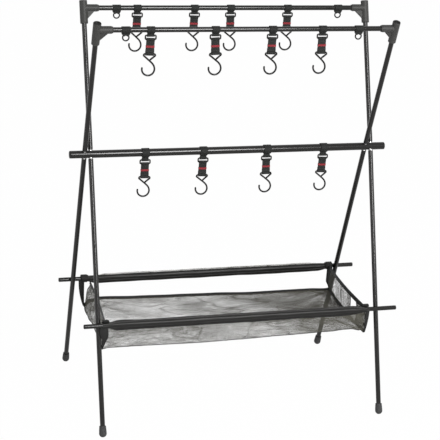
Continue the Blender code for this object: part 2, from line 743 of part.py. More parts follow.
def sleeve_mesh():
    """A cloth channel round a shelf bar: drawn tight at its ends and loose between them."""
    stations = [SHELF_HALF, SHELF_HALF - SLEEVE_TAPER * 0.6, SHELF_HALF - SLEEVE_TAPER]
    stations += [SHELF_HALF * 0.55, SHELF_HALF * 0.18]
    stations = [-x for x in stations] + list(reversed(stations))
    looseness = [0, 0, 0.75, 1.0, 0.92]
    looseness += list(reversed(looseness))
    sides = TUBE_SIDES
    rings = []
    points = []
    for skin in (MESH, 0):
        for x, loose in zip(stations, looseness):
            base = SHELF_BAR_RADIUS + GAP + skin
            ring = []
            for k in range(sides):
                turn = 2 * math.pi * k / sides
                y, z = math.cos(turn), math.sin(turn)
                high = SLEEVE_ABOVE if z > 0 else SLEEVE_BELOW
                half_wide = SLEEVE_HALF_WIDTH - MESH + skin
                half_high = high - MESH + skin
                wide = base + loose * (half_wide - base)
                tall = base + loose * (half_high - base)
                ring.append(len(points))
                points.append((x, y * wide, z * tall))
            rings.append(ring)
    count = len(stations)
    outer = rings[:count]
    inner = rings[count:]
    loop = outer + list(reversed(inner))
    faces = []
    for near, far in zip(loop, loop[1:] + loop[:1]):
        for k in range(sides):
            n = (k + 1) % sides
            faces.append((near[k], near[n], far[n], far[k]))
    return mesh_from("sleeve", points, faces)


sleeve = sleeve_mesh()
new_piece(
    "front_shelf_sleeve", sleeve, SLEEVE_CLOTH, 0, FRONT_BAR_Y, FRONT_SHELF_BAR_HEIGHT)
new_piece("back_shelf_sleeve", sleeve, SLEEVE_CLOTH, 0, BACK_BAR_Y, BACK_SHELF_BAR_HEIGHT)


def shelf_mesh():
    """An open box of mesh: floor, front wall and two end walls, with an open back.

    The mesh hangs in folds by its corners. Its floor sags between the bars, and the open back
    edge sags between two corners that hang a little lower.
    """
    half = SHELF_HALF - MESH / 2
    front_floor_z = FRONT_SHELF_BAR_HEIGHT - SHELF_BELOW_FRONT_BAR
    back_floor_z = BACK_SHELF_BAR_HEIGHT - SHELF_BELOW_BACK_BAR
    back_y = BACK_BAR_Y - TIGHT - GAP
    knot_y = FRONT_BAR_Y + TIGHT + MESH
    fold_columns = [FOLD_PITCH / 4 * k for k in range(FOLD_COUNT * 4 + 1)]
    plain = half - fold_columns[-1]
    middle = [-plain + 2 * plain * k / 8 for k in range(1, 8)]
    xs = [-half + s for s in fold_columns] + middle + [half - s for s in reversed(fold_columns)]
    rows = 10
    lifts = 3

    def fold(x):
        """How far a corner fold stands out of the front wall, in or out by turns."""
        inward = half - abs(x)
        reach = fold_columns[-1]
        if inward >= reach:
            return 0.0
        return FOLD_DEPTH * math.sin(2 * math.pi * inward / FOLD_PITCH) * (1 - inward / reach)

    def floor(x, v):
        """The floor at a place across and a share v of the way from front to back."""
        u = x / half
        near_end = max(0.0, 1 - (half - abs(x)) / CORNER_REACH)
        drop = SHELF_SAG * (1 - u ** 4) * 4 * v * (1 - v)
        drop += HEM_SAG * (1 - u ** 2) * v ** 2 + CORNER_DROP * near_end ** 2 * v ** 4
        ripple = 0.4 * fold(x) * math.sin(math.pi * v)
        z = front_floor_z + (back_floor_z - front_floor_z) * v - drop + ripple
        return Vector((x, FRONT_BAR_Y + (back_y - FRONT_BAR_Y) * v, z))

    def front_top(x):
        """The seam under the front sleeve, which rises where the sleeve is tight."""
        room = half - SLEEVE_TAPER - abs(x)
        loose = min(1.0, max(0.0, 1 + room / (SLEEVE_TAPER * 0.5)))
        below = TIGHT + loose * (SLEEVE_BELOW - TIGHT)
        return Vector((x, FRONT_BAR_Y, FRONT_SHELF_BAR_HEIGHT - below - GAP - MESH / 2))

    def end_top(side, v):
        """The bound top edge of an end wall, from the front bar's knot to the back sleeve."""
        share = (v - 1 / rows) / (1 - 1 / rows)
        dip = END_DIP * math.sin(math.pi * share) + (1 - share) * SHELF_BAR_RADIUS
        z = FRONT_SHELF_BAR_HEIGHT + (BACK_SHELF_BAR_HEIGHT - FRONT_SHELF_BAR_HEIGHT) * share
        lean = END_LEAN * math.sin(math.pi * share)
        return Vector((side * (half - lean), knot_y + (back_y - knot_y) * share, z - dip))

    points = []
    grid = {}

    def put(key, place):
        grid[key] = len(points)
        points.append(place)

    for i, x in enumerate(xs):
        for j in range(rows + 1):
            put((i, j, 0), floor(x, j / rows))
        for k in range(1, lifts + 1):
            t = k / lifts
            bow = WALL_BOW * (1 - (x / half) ** 2) + fold(x)
            place = floor(x, 0).lerp(front_top(x), t)
            put((i, 0, k), place + Vector((0, bow * math.sin(math.pi * t), 0)))
    last = len(xs) - 1
    for i, side in ((0, -1), (last, 1)):
        for j in range(1, rows + 1):
            v = j / rows
            pleat = END_PLEAT_DEPTH * (1 - math.cos(2 * math.pi * v * END_PLEATS)) / 2
            for k in range(1, lifts + 1):
                t = k / lifts
                place = floor(side * half, v).lerp(end_top(side, v), t)
                inward = -side * pleat * math.sin(math.pi * t * 0.8)
                put((i, j, k), place + Vector((inward, 0, 0)))

    faces = []
    for i in range(last):
        for j in range(rows):
            faces.append((grid[i, j, 0], grid[i + 1, j, 0],
                          grid[i + 1, j + 1, 0], grid[i, j + 1, 0]))
        for k in range(lifts):
            faces.append((grid[i, 0, k], grid[i, 0, k + 1],
                          grid[i + 1, 0, k + 1], grid[i + 1, 0, k]))
    for i in (0, last):
        for j in range(rows):
            for k in range(lifts):
                faces.append((grid[i, j, k], grid[i, j + 1, k],
                              grid[i, j + 1, k + 1], grid[i, j, k + 1]))
    mesh = bpy.data.meshes.new("mesh_shelf")
    mesh.from_pydata([tuple(p) for p in points], [], faces)
    work = bmesh.new()
    work.from_mesh(mesh)
    bmesh.ops.recalc_face_normals(work, faces=work.faces)
    work.to_mesh(mesh)
    work.free()
    mesh.shade_smooth()
    mesh.set_sharp_from_angle(angle=math.radians(35))
    return mesh


shelf = new_piece("mesh_shelf", shelf_mesh(), SHELF_MESH, 0, 0, 0)
cloth = shelf.modifiers.new("cloth", "SOLIDIFY")
cloth.thickness = MESH
cloth.offset = 0
cloth.use_even_offset = True
cloth.use_rim = True
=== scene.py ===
"""Looks of the hanging camping shelf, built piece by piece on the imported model."""
import math

import bmesh
import bpy
from mathutils import Matrix, Vector, noise


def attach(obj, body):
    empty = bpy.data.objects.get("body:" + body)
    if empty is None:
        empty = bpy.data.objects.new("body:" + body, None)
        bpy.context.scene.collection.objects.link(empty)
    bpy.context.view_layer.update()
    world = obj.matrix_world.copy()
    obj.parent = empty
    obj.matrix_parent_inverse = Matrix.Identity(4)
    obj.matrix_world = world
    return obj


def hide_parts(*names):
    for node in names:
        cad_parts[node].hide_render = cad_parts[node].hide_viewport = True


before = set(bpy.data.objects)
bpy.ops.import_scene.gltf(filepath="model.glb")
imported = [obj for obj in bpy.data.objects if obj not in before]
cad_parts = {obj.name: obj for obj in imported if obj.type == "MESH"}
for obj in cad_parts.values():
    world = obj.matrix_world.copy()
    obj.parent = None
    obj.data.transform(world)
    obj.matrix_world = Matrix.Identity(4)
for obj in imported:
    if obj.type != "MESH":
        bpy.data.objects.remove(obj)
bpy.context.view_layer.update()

# Viewpoint. A long lens looks down on the rack from its left front corner. It is turned a few
# degrees about its own line of sight, so the rails climb to the right.
VIEW_FROM = Vector((-1.0722, -3.5330, 1.7958))
VIEW_TURN, VIEW_DIP, VIEW_ROLL = 0.30362, -0.38285, 0.06004
FOCAL_PIXELS = 1442.59
MIDDLE_PIXEL = (238.455, 286.211)
PHOTO_PIXELS = 440

lens = bpy.data.cameras.new("viewpoint")
lens.sensor_width = 36
lens.lens = FOCAL_PIXELS / PHOTO_PIXELS * 36
lens.shift_x = -(MIDDLE_PIXEL[0] - PHOTO_PIXELS / 2) / PHOTO_PIXELS
lens.shift_y = (MIDDLE_PIXEL[1] - PHOTO_PIXELS / 2) / PHOTO_PIXELS
lens.clip_end = 100
viewpoint = bpy.data.objects.new("viewpoint", lens)
viewpoint.matrix_world = (
    Matrix.Translation(VIEW_FROM) @ Matrix.Rotation(-VIEW_TURN, 4, "Z")
    @ Matrix.Rotation(math.pi / 2 + VIEW_DIP, 4, "X") @ Matrix.Rotation(VIEW_ROLL, 4, "Z"))
bpy.context.scene.collection.objects.link(viewpoint)
bpy.context.scene.camera = viewpoint
bpy.context.scene.view_settings.view_transform = "Standard"


# Studio floor and backdrop. Both are matt white; the camera, and gloss that mirrors them, see
# them as plain white, while the rack's own shadow stays faintly on the floor.
def calc(tree, operation, *values):
    """A maths node on numbers or sockets, and its result."""
    node = tree.nodes.new("ShaderNodeMath")
    node.operation = operation
    for entry, value in zip(node.inputs, values):
        if isinstance(value, bpy.types.NodeSocket):
            tree.links.new(value, entry)
        else:
            entry.default_value = value
    return node.outputs[0]


def shown_white(tree, shader, white_kind, result, share):
    """Mix in plain white for the rays that show the backdrop: camera, gloss and glass."""
    path = tree.nodes.new("ShaderNodeLightPath").outputs
    seen = calc(tree, "MAXIMUM", path["Is Camera Ray"], path["Is Glossy Ray"])
    seen = calc(tree, "MAXIMUM", seen, path["Is Transmission Ray"])
    white = tree.nodes.new(white_kind)
    white.inputs["Color"].default_value = (1, 1, 1, 1)
    white.inputs["Strength"].default_value = 1.0
    blend = tree.nodes.new("ShaderNodeMixShader")
    for source, entry in (
            (calc(tree, "MULTIPLY", seen, share), blend.inputs["Fac"]),
            (shader.outputs[0], blend.inputs[1]), (white.outputs[0], blend.inputs[2]),
            (blend.outputs[0], result.inputs["Surface"])):
        tree.links.new(source, entry)


floor_finish = bpy.data.materials.new("studio_floor")
floor_finish.use_nodes = True
floor_nodes = floor_finish.node_tree.nodes
floor_paint = floor_nodes["Principled BSDF"]
floor_paint.inputs["Base Color"].default_value = (0.90, 0.90, 0.90, 1)
floor_paint.inputs["Roughness"].default_value = 0.95
floor_paint.inputs["Specular IOR Level"].default_value = 0.0
shown_white(floor_finish.node_tree, floor_paint, "ShaderNodeEmission",
            floor_nodes["Material Output"], 0.99)
floor_mesh = bpy.data.meshes.new("studio_floor")
floor_mesh.from_pydata(
    [(-30, -30, 0), (30, -30, 0), (30, 30, 0), (-30, 30, 0)], [], [(0, 1, 2, 3)])
floor_mesh.materials.append(floor_finish)
studio_floor = bpy.data.objects.new("studio_floor", floor_mesh)
bpy.context.scene.collection.objects.link(studio_floor)

backdrop = bpy.data.worlds.new("backdrop")
bpy.context.scene.world = backdrop
backdrop.use_nodes = True
backdrop_tree = backdrop.node_tree
room_light = backdrop_tree.nodes["Background"]
room_light.inputs["Color"].default_value = (1, 1, 1, 1)
room_light.inputs["Strength"].default_value = 0.225
shown_white(backdrop_tree, room_light, "ShaderNodeBackground",
            backdrop_tree.nodes["World Output"], 1.0)


def softbox(name, place, aim, width, height, power):
    """A soft rectangular lamp at a place, turned to a point."""
    lamp = bpy.data.lights.new(name, "AREA")
    lamp.shape = "RECTANGLE"
    lamp.size = width
    lamp.size_y = height
    lamp.energy = power
    holder = bpy.data.objects.new(name, lamp)
    holder.location = place
    holder.rotation_euler = (Vector(aim) - Vector(place)).to_track_quat("-Z", "Y").to_euler()
    bpy.context.scene.collection.objects.link(holder)


softbox("front_box", (0.79, -3.6, 2.30), (0.0, 0, 0.7), 0.95, 1.8, 135)
softbox("right_box", (3.0, -1.8, 1.4), (0, 0, 0.6), 0.8, 2.0, 14)
softbox("left_box", (-3.3, -1.6, 1.6), (0, 0, 0.6), 0.8, 2.0, 16)


# Legs. Each is an upper and a lower tube in black satin coating on a bare aluminium pin, which
# passes through the middle bar. A bright ferrule shows above and below the bar.
MIDDLE_X = -0.0075
LEG_X = 0.387
FRAME_SHIFT = 0.008
RAIL_Y, RAIL_Z = 0.131, 1.050
MIDDLE_Z = 0.698
FOOT_Y = 0.241
TUBE_R = 0.0065
TUBE_BORE_R = 0.0055
PIN_R = 0.0050
FERRULE_R = 0.0057
FERRULE_STARTS = 0.0106
TUBE_STARTS = 0.0120
PIN_REACH = 0.0250
UPPER_TILT = math.atan2(RAIL_Y, RAIL_Z - MIDDLE_Z)
LOWER_TILT = math.atan2(FOOT_Y, MIDDLE_Z)
UPPER_LENGTH = math.hypot(RAIL_Y, RAIL_Z - MIDDLE_Z)
LOWER_LENGTH = math.hypot(FOOT_Y, MIDDLE_Z)


def cloud(tree, place, scale, detail, distortion=0.0):
    """A noise mask over the surface."""
    noise_node = tree.nodes.new("ShaderNodeTexNoise")
    for label, value in (("Detail", detail), ("Distortion", distortion)):
        noise_node.inputs[label].default_value = value
    tree.links.new(place, noise_node.inputs["Vector"])
    if isinstance(scale, bpy.types.NodeSocket):
        tree.links.new(scale, noise_node.inputs["Scale"])
    else:
        noise_node.inputs["Scale"].default_value = scale
    return noise_node.outputs["Fac"]


def new_group(name, numbers, masks):
    """A shader group that takes a place and named numbers and gives named masks."""
    group = bpy.data.node_groups.new(name, "ShaderNodeTree")
    group.interface.new_socket("Place", in_out="INPUT", socket_type="NodeSocketVector")
    for label in numbers:
        group.interface.new_socket(label, in_out="INPUT", socket_type="NodeSocketFloat")
    for label in masks:
        group.interface.new_socket(label, in_out="OUTPUT", socket_type="NodeSocketFloat")
    return group, group.nodes.new("NodeGroupInput").outputs, (
        group.nodes.new("NodeGroupOutput").inputs)


def use_group(tree, group, place, **numbers):
    """The masks of a shader group, at a place and with its numbers set."""
    node = tree.nodes.new("ShaderNodeGroup")
    node.node_tree = group
    tree.links.new(place, node.inputs["Place"])
    for label, value in numbers.items():
        if isinstance(value, bpy.types.NodeSocket):
            tree.links.new(value, node.inputs[label])
        else:
            node.inputs[label].default_value = value
    return node.outputs


MOTTLE, mottle_given, mottle_out = new_group(
    "grain_and_blotch", ("Grain", "Blotch"), ("Fine", "Broad"))
for mask, rate in (("Fine", "Grain"), ("Broad", "Blotch")):
    MOTTLE.links.new(
        cloud(MOTTLE, mottle_given["Place"], mottle_given[rate], 3.0), mottle_out[mask])


def blank_finish(name, roughness, specular, metallic=0.0):
    """A material, its tree and its Principled shader, to which the surface's detail is added."""
    mat = bpy.data.materials.new(name)
    mat.use_nodes = True
    shader = mat.node_tree.nodes["Principled BSDF"]
    shader.inputs["Roughness"].default_value = roughness
    shader.inputs["Specular IOR Level"].default_value = specular
    shader.inputs["Metallic"].default_value = metallic
    return mat, mat.node_tree, shader


def paint(tree, shader, share, first, second):
    """Colour a surface between two colours, by a mask over it."""
    mix = tree.nodes.new("ShaderNodeMix")
    mix.data_type = "RGBA"
    tree.links.new(share, mix.inputs["Factor"])
    mix.inputs["A"].default_value = (*first, 1)
    mix.inputs["B"].default_value = (*second, 1)
    shader.inputs["Base Color"].default_value = (*first, 1)
    tree.links.new(mix.outputs["Result"], shader.inputs["Base Color"])


def set_bump(tree, shader, height, strength, distance):
    """Raise the surface by a height mask."""
    bump = tree.nodes.new("ShaderNodeBump")
    bump.inputs["Strength"].default_value = strength
    bump.inputs["Distance"].default_value = distance
    tree.links.new(height, bump.inputs["Height"])
    tree.links.new(bump.outputs["Normal"], shader.inputs["Normal"])


def mottled_finish(name, dark, light, rough, specular, grain, blotch, bump, distance,
                   metallic=0.0):
    """A moulded or coated finish: two near colours, uneven gloss and fine grain."""
    mat, tree, shader = blank_finish(name, rough[0], specular, metallic)
    place = tree.nodes.new("ShaderNodeTexCoord").outputs["Object"]
    masks = use_group(tree, MOTTLE, place, Grain=grain, Blotch=blotch)
    paint(tree, shader, masks["Broad"], dark, light)
    tree.links.new(
        calc(tree, "MULTIPLY_ADD", masks["Broad"], rough[1] - rough[0], rough[0]),
        shader.inputs["Roughness"])
    set_bump(tree, shader, masks["Fine"], bump, distance)
    return mat


BLACK_COAT = mottled_finish(
    "black_coated_tube", (0.0045, 0.0042, 0.0037), (0.0090, 0.0084, 0.0074), (0.15, 0.19), 0.34,
    700, 14, 0.01, 0.00005)
BARE_ALUMINIUM = mottled_finish(
    "bare_aluminium", (0.34, 0.34, 0.34), (0.46, 0.46, 0.45), (0.24, 0.38), 0.5,
    1500, 60, 0.05, 0.0001, 1.0)


def straight_axis(direction):
    """The centre and two crosswise directions at a distance along a line from the origin."""
    axis = Vector(direction).normalized()
    helper = Vector((1, 0, 0)) if abs(axis.x) < 0.9 else Vector((0, 1, 0))
    across = (helper - helper.dot(axis) * axis).normalized()
    return lambda distance: (distance * axis, across, axis.cross(across))


def turned_mesh(name, profile, axis_at, sides, finish, sharp=30):
    """A body turned about a line from a closed profile, or one whose ends are on the line."""
    points = []
    rings = []
    for distance, radius in profile:
        centre, across, up = axis_at(distance)
        if radius == 0:
            rings.append([len(points)])
            points.append(centre)
            continue
        rings.append(list(range(len(points), len(points) + sides)))
        for k in range(sides):
            turn = 2 * math.pi * k / sides
            points.append(centre + radius * (math.cos(turn) * across + math.sin(turn) * up))
    if len(rings[0]) > 1:
        rings.append(rings[0])
    faces = []
    for near, far in zip(rings, rings[1:]):
        for k in range(sides):
            n = (k + 1) % sides
            if len(near) == 1 and len(far) > 1:
                faces.append((near[0], far[n], far[k]))
            elif len(far) == 1 and len(near) > 1:
                faces.append((near[k], near[n], far[0]))
            elif len(near) > 1:
                faces.append((near[k], near[n], far[n], far[k]))
    return finished_mesh(name, points, faces, finish, sharp)


def finished_mesh(name, points, faces, finish, sharp=30):
    """A mesh with outward faces, smooth up to a sharpness angle, in one finish."""
    mesh = bpy.data.meshes.new(name)
    mesh.from_pydata([tuple(p) for p in points], [], faces)
    work = bmesh.new()
    work.from_mesh(mesh)
    bmesh.ops.recalc_face_normals(work, faces=work.faces)
    work.to_mesh(mesh)
    work.free()
    mesh.shade_smooth()
    mesh.set_sharp_from_angle(angle=math.radians(sharp))
    mesh.materials.append(finish)
    return mesh


def add_piece(name, mesh, body, place=(0, 0, 0), turn=(0, 0, 0)):
    """Put a mesh on a body of the rack, at a place and turned by three angles."""
    piece = bpy.data.objects.new(name, mesh)
    piece.location = place
    bpy.context.scene.collection.objects.link(piece)
    bpy.context.view_layer.update()
    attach(piece, body)
    piece.rotation_euler = turn
    return piece


def tube_profile(start, end, outer, inner, rim):
    """An open tube's section with rounded rims."""
    lip = ((rim * 0.3, inner), (0, inner + rim * 0.4), (0, outer - rim),
           (rim * 0.3, outer - rim * 0.3), (rim, outer), (rim + 0.0010, outer))
    return (*[(start + inset, radius) for inset, radius in lip],
            *[(end - inset, radius) for inset, radius in reversed(lip)])


FOOT_BALL_Z = 0.0092
FOOT_FLOOR_THICK = 0.0010
END_GAP = 0.0003
LEG_PAST_RAIL = 0.0110
FOOT_BORE_FLOOR = FOOT_BALL_Z / math.cos(LOWER_TILT) + FOOT_FLOOR_THICK
LEG_END = LOWER_LENGTH - FOOT_BORE_FLOOR - END_GAP
LEG_TOP = UPPER_LENGTH + LEG_PAST_RAIL
for rail, side in (("front", -1), ("back", 1)):
    going_up = Vector((0, side * math.sin(UPPER_TILT), math.cos(UPPER_TILT)))
    going_down = Vector((0, -side * math.sin(LOWER_TILT), -math.cos(LOWER_TILT)))
    upper_mesh = turned_mesh(
        "upper_leg", tube_profile(TUBE_STARTS, LEG_TOP, TUBE_R, TUBE_BORE_R, 0.0010),
        straight_axis(going_up), 32, BLACK_COAT)
    lower_mesh = turned_mesh(
        "lower_leg", tube_profile(TUBE_STARTS, LEG_END, TUBE_R, TUBE_BORE_R, 0.0010),
        straight_axis(going_down), 32, BLACK_COAT)

    def pin_axis(distance, up=going_up, down=going_down):
        axis = down if distance > 0 else -up
        return distance * axis, Vector((1, 0, 0)), axis.cross(Vector((1, 0, 0)))

    pin_half = [
        (FERRULE_STARTS, PIN_R), (FERRULE_STARTS + 0.0001, PIN_R + 0.0002),
        (FERRULE_STARTS + 0.0007, FERRULE_R), (TUBE_STARTS, FERRULE_R),
        (TUBE_STARTS + 0.0002, TUBE_BORE_R), (PIN_REACH - 0.0010, TUBE_BORE_R - 0.0002),
        (PIN_REACH, PIN_R), (PIN_REACH, 0),
    ]
    pin_profile = [(-d, r) for d, r in reversed(pin_half)] + pin_half
    pin_mesh = turned_mesh("leg_pin", pin_profile, pin_axis, 32, BARE_ALUMINIUM)
    for end, where in ((-1, "left"), (1, "right")):
        crossing = (MIDDLE_X + side * FRAME_SHIFT + end * LEG_X, 0, MIDDLE_Z)
        node = f"{rail}_rail_{where}_leg"
        upper = add_piece(node + "_upper_tube", upper_mesh, "rack", crossing)
        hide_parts(node)
        add_piece(node + "_lower_tube", lower_mesh, "rack", crossing)
        add_piece(node + "_pin", pin_mesh, "rack", crossing)


# Rails, middle bar and shelf bars. They are drawn tubes in the same black coating. The middle
# bar is thicker and cross-drilled for the leg pins, and plastic plugs close the open ends.
MIDDLE_BAR_R = 0.0100
SHELF_BAR_R = 0.0060
MIDDLE_BAR_WALL, SHELF_BAR_WALL = 0.0014, 0.0010
BAR_LENGTH = 0.8650
RAIL_SHORT_OF_LEG = 0.0093
PIN_HOLE_R = 0.0054
FRONT_BAR_Z, BACK_BAR_Z = 0.2815, 0.2890
FRONT_BAR_SHIFT, BACK_BAR_SHIFT = 0.0150, 0.0020
BAR_GAP = 0.0003
HOLE_REACH = 0.023
STAND_OFF = (TUBE_R + SHELF_BAR_R + BAR_GAP) / math.cos(LOWER_TILT)
FRONT_BAR_Y = -FOOT_Y * (1 - FRONT_BAR_Z / MIDDLE_Z) - STAND_OFF
BACK_BAR_Y = FOOT_Y * (1 - BACK_BAR_Z / MIDDLE_Z) + STAND_OFF
PLUG_PLASTIC = mottled_finish(
    "plug_plastic", (0.010, 0.010, 0.010), (0.018, 0.018, 0.017), (0.42, 0.55), 0.25,
    1800, 40, 0.10, 0.0002)
ALONG_X = straight_axis((1, 0, 0))
rail_half = LEG_X - RAIL_SHORT_OF_LEG
rail_mesh = turned_mesh(
    "rail", tube_profile(-rail_half, rail_half, TUBE_R, TUBE_BORE_R, 0.0008),
    ALONG_X, 32, BLACK_COAT)
for rail, side in (("front", -1), ("back", 1)):
    piece = add_piece(
        rail + "_rail_tube", rail_mesh, "rack",
        (MIDDLE_X + side * FRAME_SHIFT, side * RAIL_Y, RAIL_Z))
    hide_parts(rail + "_rail")


def carved(name, base, steps, finish, skin=None):
    """Shapes joined and cut in turn, and re-skinned where their edges are to be rounded."""
    body = bpy.data.objects.new(name, base)
    helpers = [body]
    for operation, mesh, place in steps:
        tool = bpy.data.objects.new("tool", mesh)
        tool.location = place
        helpers.append(tool)
        step = body.modifiers.new(operation, "BOOLEAN")
        step.operation, step.solver, step.object = operation, "EXACT", tool
    if skin:
        voxel, smoothing, keep = skin
        cover = body.modifiers.new("skin", "REMESH")
        cover.mode, cover.voxel_size = "VOXEL", voxel
        soften = body.modifiers.new("soften", "SMOOTH")
        soften.factor, soften.iterations = 0.5, smoothing
        body.modifiers.new("thin", "DECIMATE").ratio = keep
    for helper in helpers:
        bpy.context.scene.collection.objects.link(helper)
    bpy.context.view_layer.update()
    graph = bpy.context.evaluated_depsgraph_get()
    result = bpy.data.meshes.new_from_object(body.evaluated_get(graph))
    for helper in helpers:
        bpy.data.objects.remove(helper)
    result.name = name
    result.materials.clear()
    result.materials.append(finish)
    result.shade_smooth()
    return result


def drilled_bar():
    """The middle bar's tube, with its leaning pin holes."""
    half = BAR_LENGTH / 2
    profile = tube_profile(-half, half, MIDDLE_BAR_R, MIDDLE_BAR_R - MIDDLE_BAR_WALL, 0.001)
    around_holes = tuple((hole + reach, MIDDLE_BAR_R) for hole in (-LEG_X, LEG_X)
                         for reach in (-HOLE_REACH, HOLE_REACH))
    base = turned_mesh("middle_bar_tube", profile[:6] + around_holes + profile[6:],
                       ALONG_X, 64, BLACK_COAT)
    lean = (UPPER_TILT + LOWER_TILT) / 2
    drills = []
    for side in (-1, 1):
        bit = turned_mesh(
            "drill", ((-0.03, 0), (-0.03, PIN_HOLE_R), (0.03, PIN_HOLE_R), (0.03, 0)),
            straight_axis((0, side * math.sin(lean), math.cos(lean))), 32, BLACK_COAT)
        drills += [("DIFFERENCE", bit, (side * FRAME_SHIFT + end * LEG_X, 0, 0))
                   for end in (-1, 1)]
    drilled = carved("middle_bar_tube", base, drills, BLACK_COAT)
    drilled.set_sharp_from_angle(angle=math.radians(25))
    return drilled


middle_tube = add_piece(
    "middle_bar_tube", drilled_bar(), "rack", (MIDDLE_X, 0, MIDDLE_Z))
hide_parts("middle_bar")
shelf_bar_mesh = turned_mesh(
    "shelf_bar", tube_profile(-BAR_LENGTH / 2, BAR_LENGTH / 2, SHELF_BAR_R,
                              SHELF_BAR_R - SHELF_BAR_WALL, 0.0008), ALONG_X, 32, BLACK_COAT)
shelf_bars = {
    "front_shelf_bar": (MIDDLE_X + FRONT_BAR_SHIFT, FRONT_BAR_Y, FRONT_BAR_Z),
    "back_shelf_bar": (MIDDLE_X + BACK_BAR_SHIFT, BACK_BAR_Y, BACK_BAR_Z),
}
for node, place in shelf_bars.items():
    piece = add_piece(node + "_tube", shelf_bar_mesh, "rack", place)
    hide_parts(node)


def plug_mesh(outer, bore):
    """A push-in end plug: a domed flange with a shallow dish, and a ribbed stem."""
    stem, groove = bore - 0.0003, bore - 0.0009
    return turned_mesh("end_plug", (
        (-0.0140, 0), (-0.0140, bore - 0.0012), (-0.0130, stem), (-0.0090, stem),
        (-0.0088, groove), (-0.0070, groove), (-0.0068, stem), (0.0001, stem),
        (0.0001, outer - 0.0005), (0.0004, outer - 0.0001), (0.0010, outer - 0.0002),
        (0.0016, outer - 0.0008), (0.0019, outer - 0.0018), (0.0019, outer * 0.62),
        (0.0012, outer * 0.52), (0.0011, 0),
    ), ALONG_X, 32, PLUG_PLASTIC)


middle_plug = plug_mesh(MIDDLE_BAR_R, MIDDLE_BAR_R - MIDDLE_BAR_WALL)
shelf_plug = plug_mesh(SHELF_BAR_R, SHELF_BAR_R - SHELF_BAR_WALL)
plugged = [("middle_bar", (MIDDLE_X, 0, MIDDLE_Z), middle_plug)]
plugged += [(node, place, shelf_plug) for node, place in shelf_bars.items()]
for node, (x, y, z), mesh in plugged:
    for end, where in ((-1, "left"), (1, "right")):
        add_piece(f"{node}_{where}_plug", mesh, "rack",
                  (x + end * BAR_LENGTH / 2, y, z), (0, 0, 0 if end > 0 else math.pi))


# Corner joints. Each is one moulding in dark grey plastic: a socket for the leg with a dished
# top, a socket for the rail with a stepped collar, and a web between them.
LEG_SOCKET_R, RAIL_SOCKET_R, COLLAR_R = 0.0102, 0.0094, 0.0083
LEG_SOCKET_LOW, LEG_SOCKET_TOP, DISH_FLOOR = -0.0400, 0.0192, 0.0152
COLLAR_STARTS, RAIL_SOCKET_END = 0.0366, 0.0401
SOCKET_BORE_R = 0.0067
LEG_BORE_STOP, RAIL_BORE_STOP, PAST_SOCKET = 0.0112, 0.0090, 0.06
WEB_HALF_THICK = 0.0040
ALONG_Z = straight_axis((0, 0, 1))
WEB_OUTLINE = ((0, 0), (0.0290, 0), (0.0290, -0.0085), (0.0275, -0.0094),
               (0.0094, -0.0280), (0, -0.0280))
CORNER_PLASTIC = mottled_finish(
    "corner_plastic", (0.032, 0.032, 0.030), (0.046, 0.045, 0.043), (0.42, 0.56), 0.32,
    1600, 30, 0.16, 0.0003)


def ring_faces(rings, sides, closed=False, capped=False):
    """Faces between rings of points that follow each other, and over the two end rings."""
    faces = []
    for r in range(rings if closed else rings - 1):
        near, far = r * sides, (r + 1) % rings * sides
        faces += [(near + k, near + (k + 1) % sides, far + (k + 1) % sides, far + k)
                  for k in range(sides)]
    if capped:
        faces += [tuple(range(sides)), tuple(range((rings - 1) * sides, rings * sides))]
    return faces


def corner_joint():
    """A corner with its leg socket along Z and its rail socket along +X."""
    leg_socket = turned_mesh("leg_socket", (
        (LEG_SOCKET_LOW, 0), (LEG_SOCKET_LOW, LEG_SOCKET_R), (LEG_SOCKET_TOP, LEG_SOCKET_R),
        (LEG_SOCKET_TOP, 0.0090), (DISH_FLOOR, 0.0088), (DISH_FLOOR, 0),
    ), ALONG_Z, 48, CORNER_PLASTIC)
    rail_socket = turned_mesh("rail_socket", (
        (0, 0), (0, RAIL_SOCKET_R), (COLLAR_STARTS, RAIL_SOCKET_R), (COLLAR_STARTS, COLLAR_R),
        (RAIL_SOCKET_END, COLLAR_R), (RAIL_SOCKET_END, 0),
    ), ALONG_X, 48, CORNER_PLASTIC)
    count = len(WEB_OUTLINE)
    web_faces = [tuple(range(count)), tuple(range(2 * count - 1, count - 1, -1))]
    web = finished_mesh(
        "web", [(x, y, z) for y in (-WEB_HALF_THICK, WEB_HALF_THICK) for x, z in WEB_OUTLINE],
        web_faces + ring_faces(2, count), CORNER_PLASTIC)
    leg_bore, rail_bore = [turned_mesh(
        "bore", ((start, 0), (start, SOCKET_BORE_R), (end, SOCKET_BORE_R), (end, 0)),
        axis, 48, CORNER_PLASTIC) for start, end, axis in (
            (-PAST_SOCKET, LEG_BORE_STOP, ALONG_Z), (RAIL_BORE_STOP, PAST_SOCKET, ALONG_X))]
    steps = (("UNION", rail_socket), ("UNION", web),
             ("DIFFERENCE", leg_bore), ("DIFFERENCE", rail_bore))
    return carved("corner_joint", leg_socket, [(*step, (0, 0, 0)) for step in steps],
                  CORNER_PLASTIC, skin=(0.0006, 5, 0.30))


corner_mesh = corner_joint()
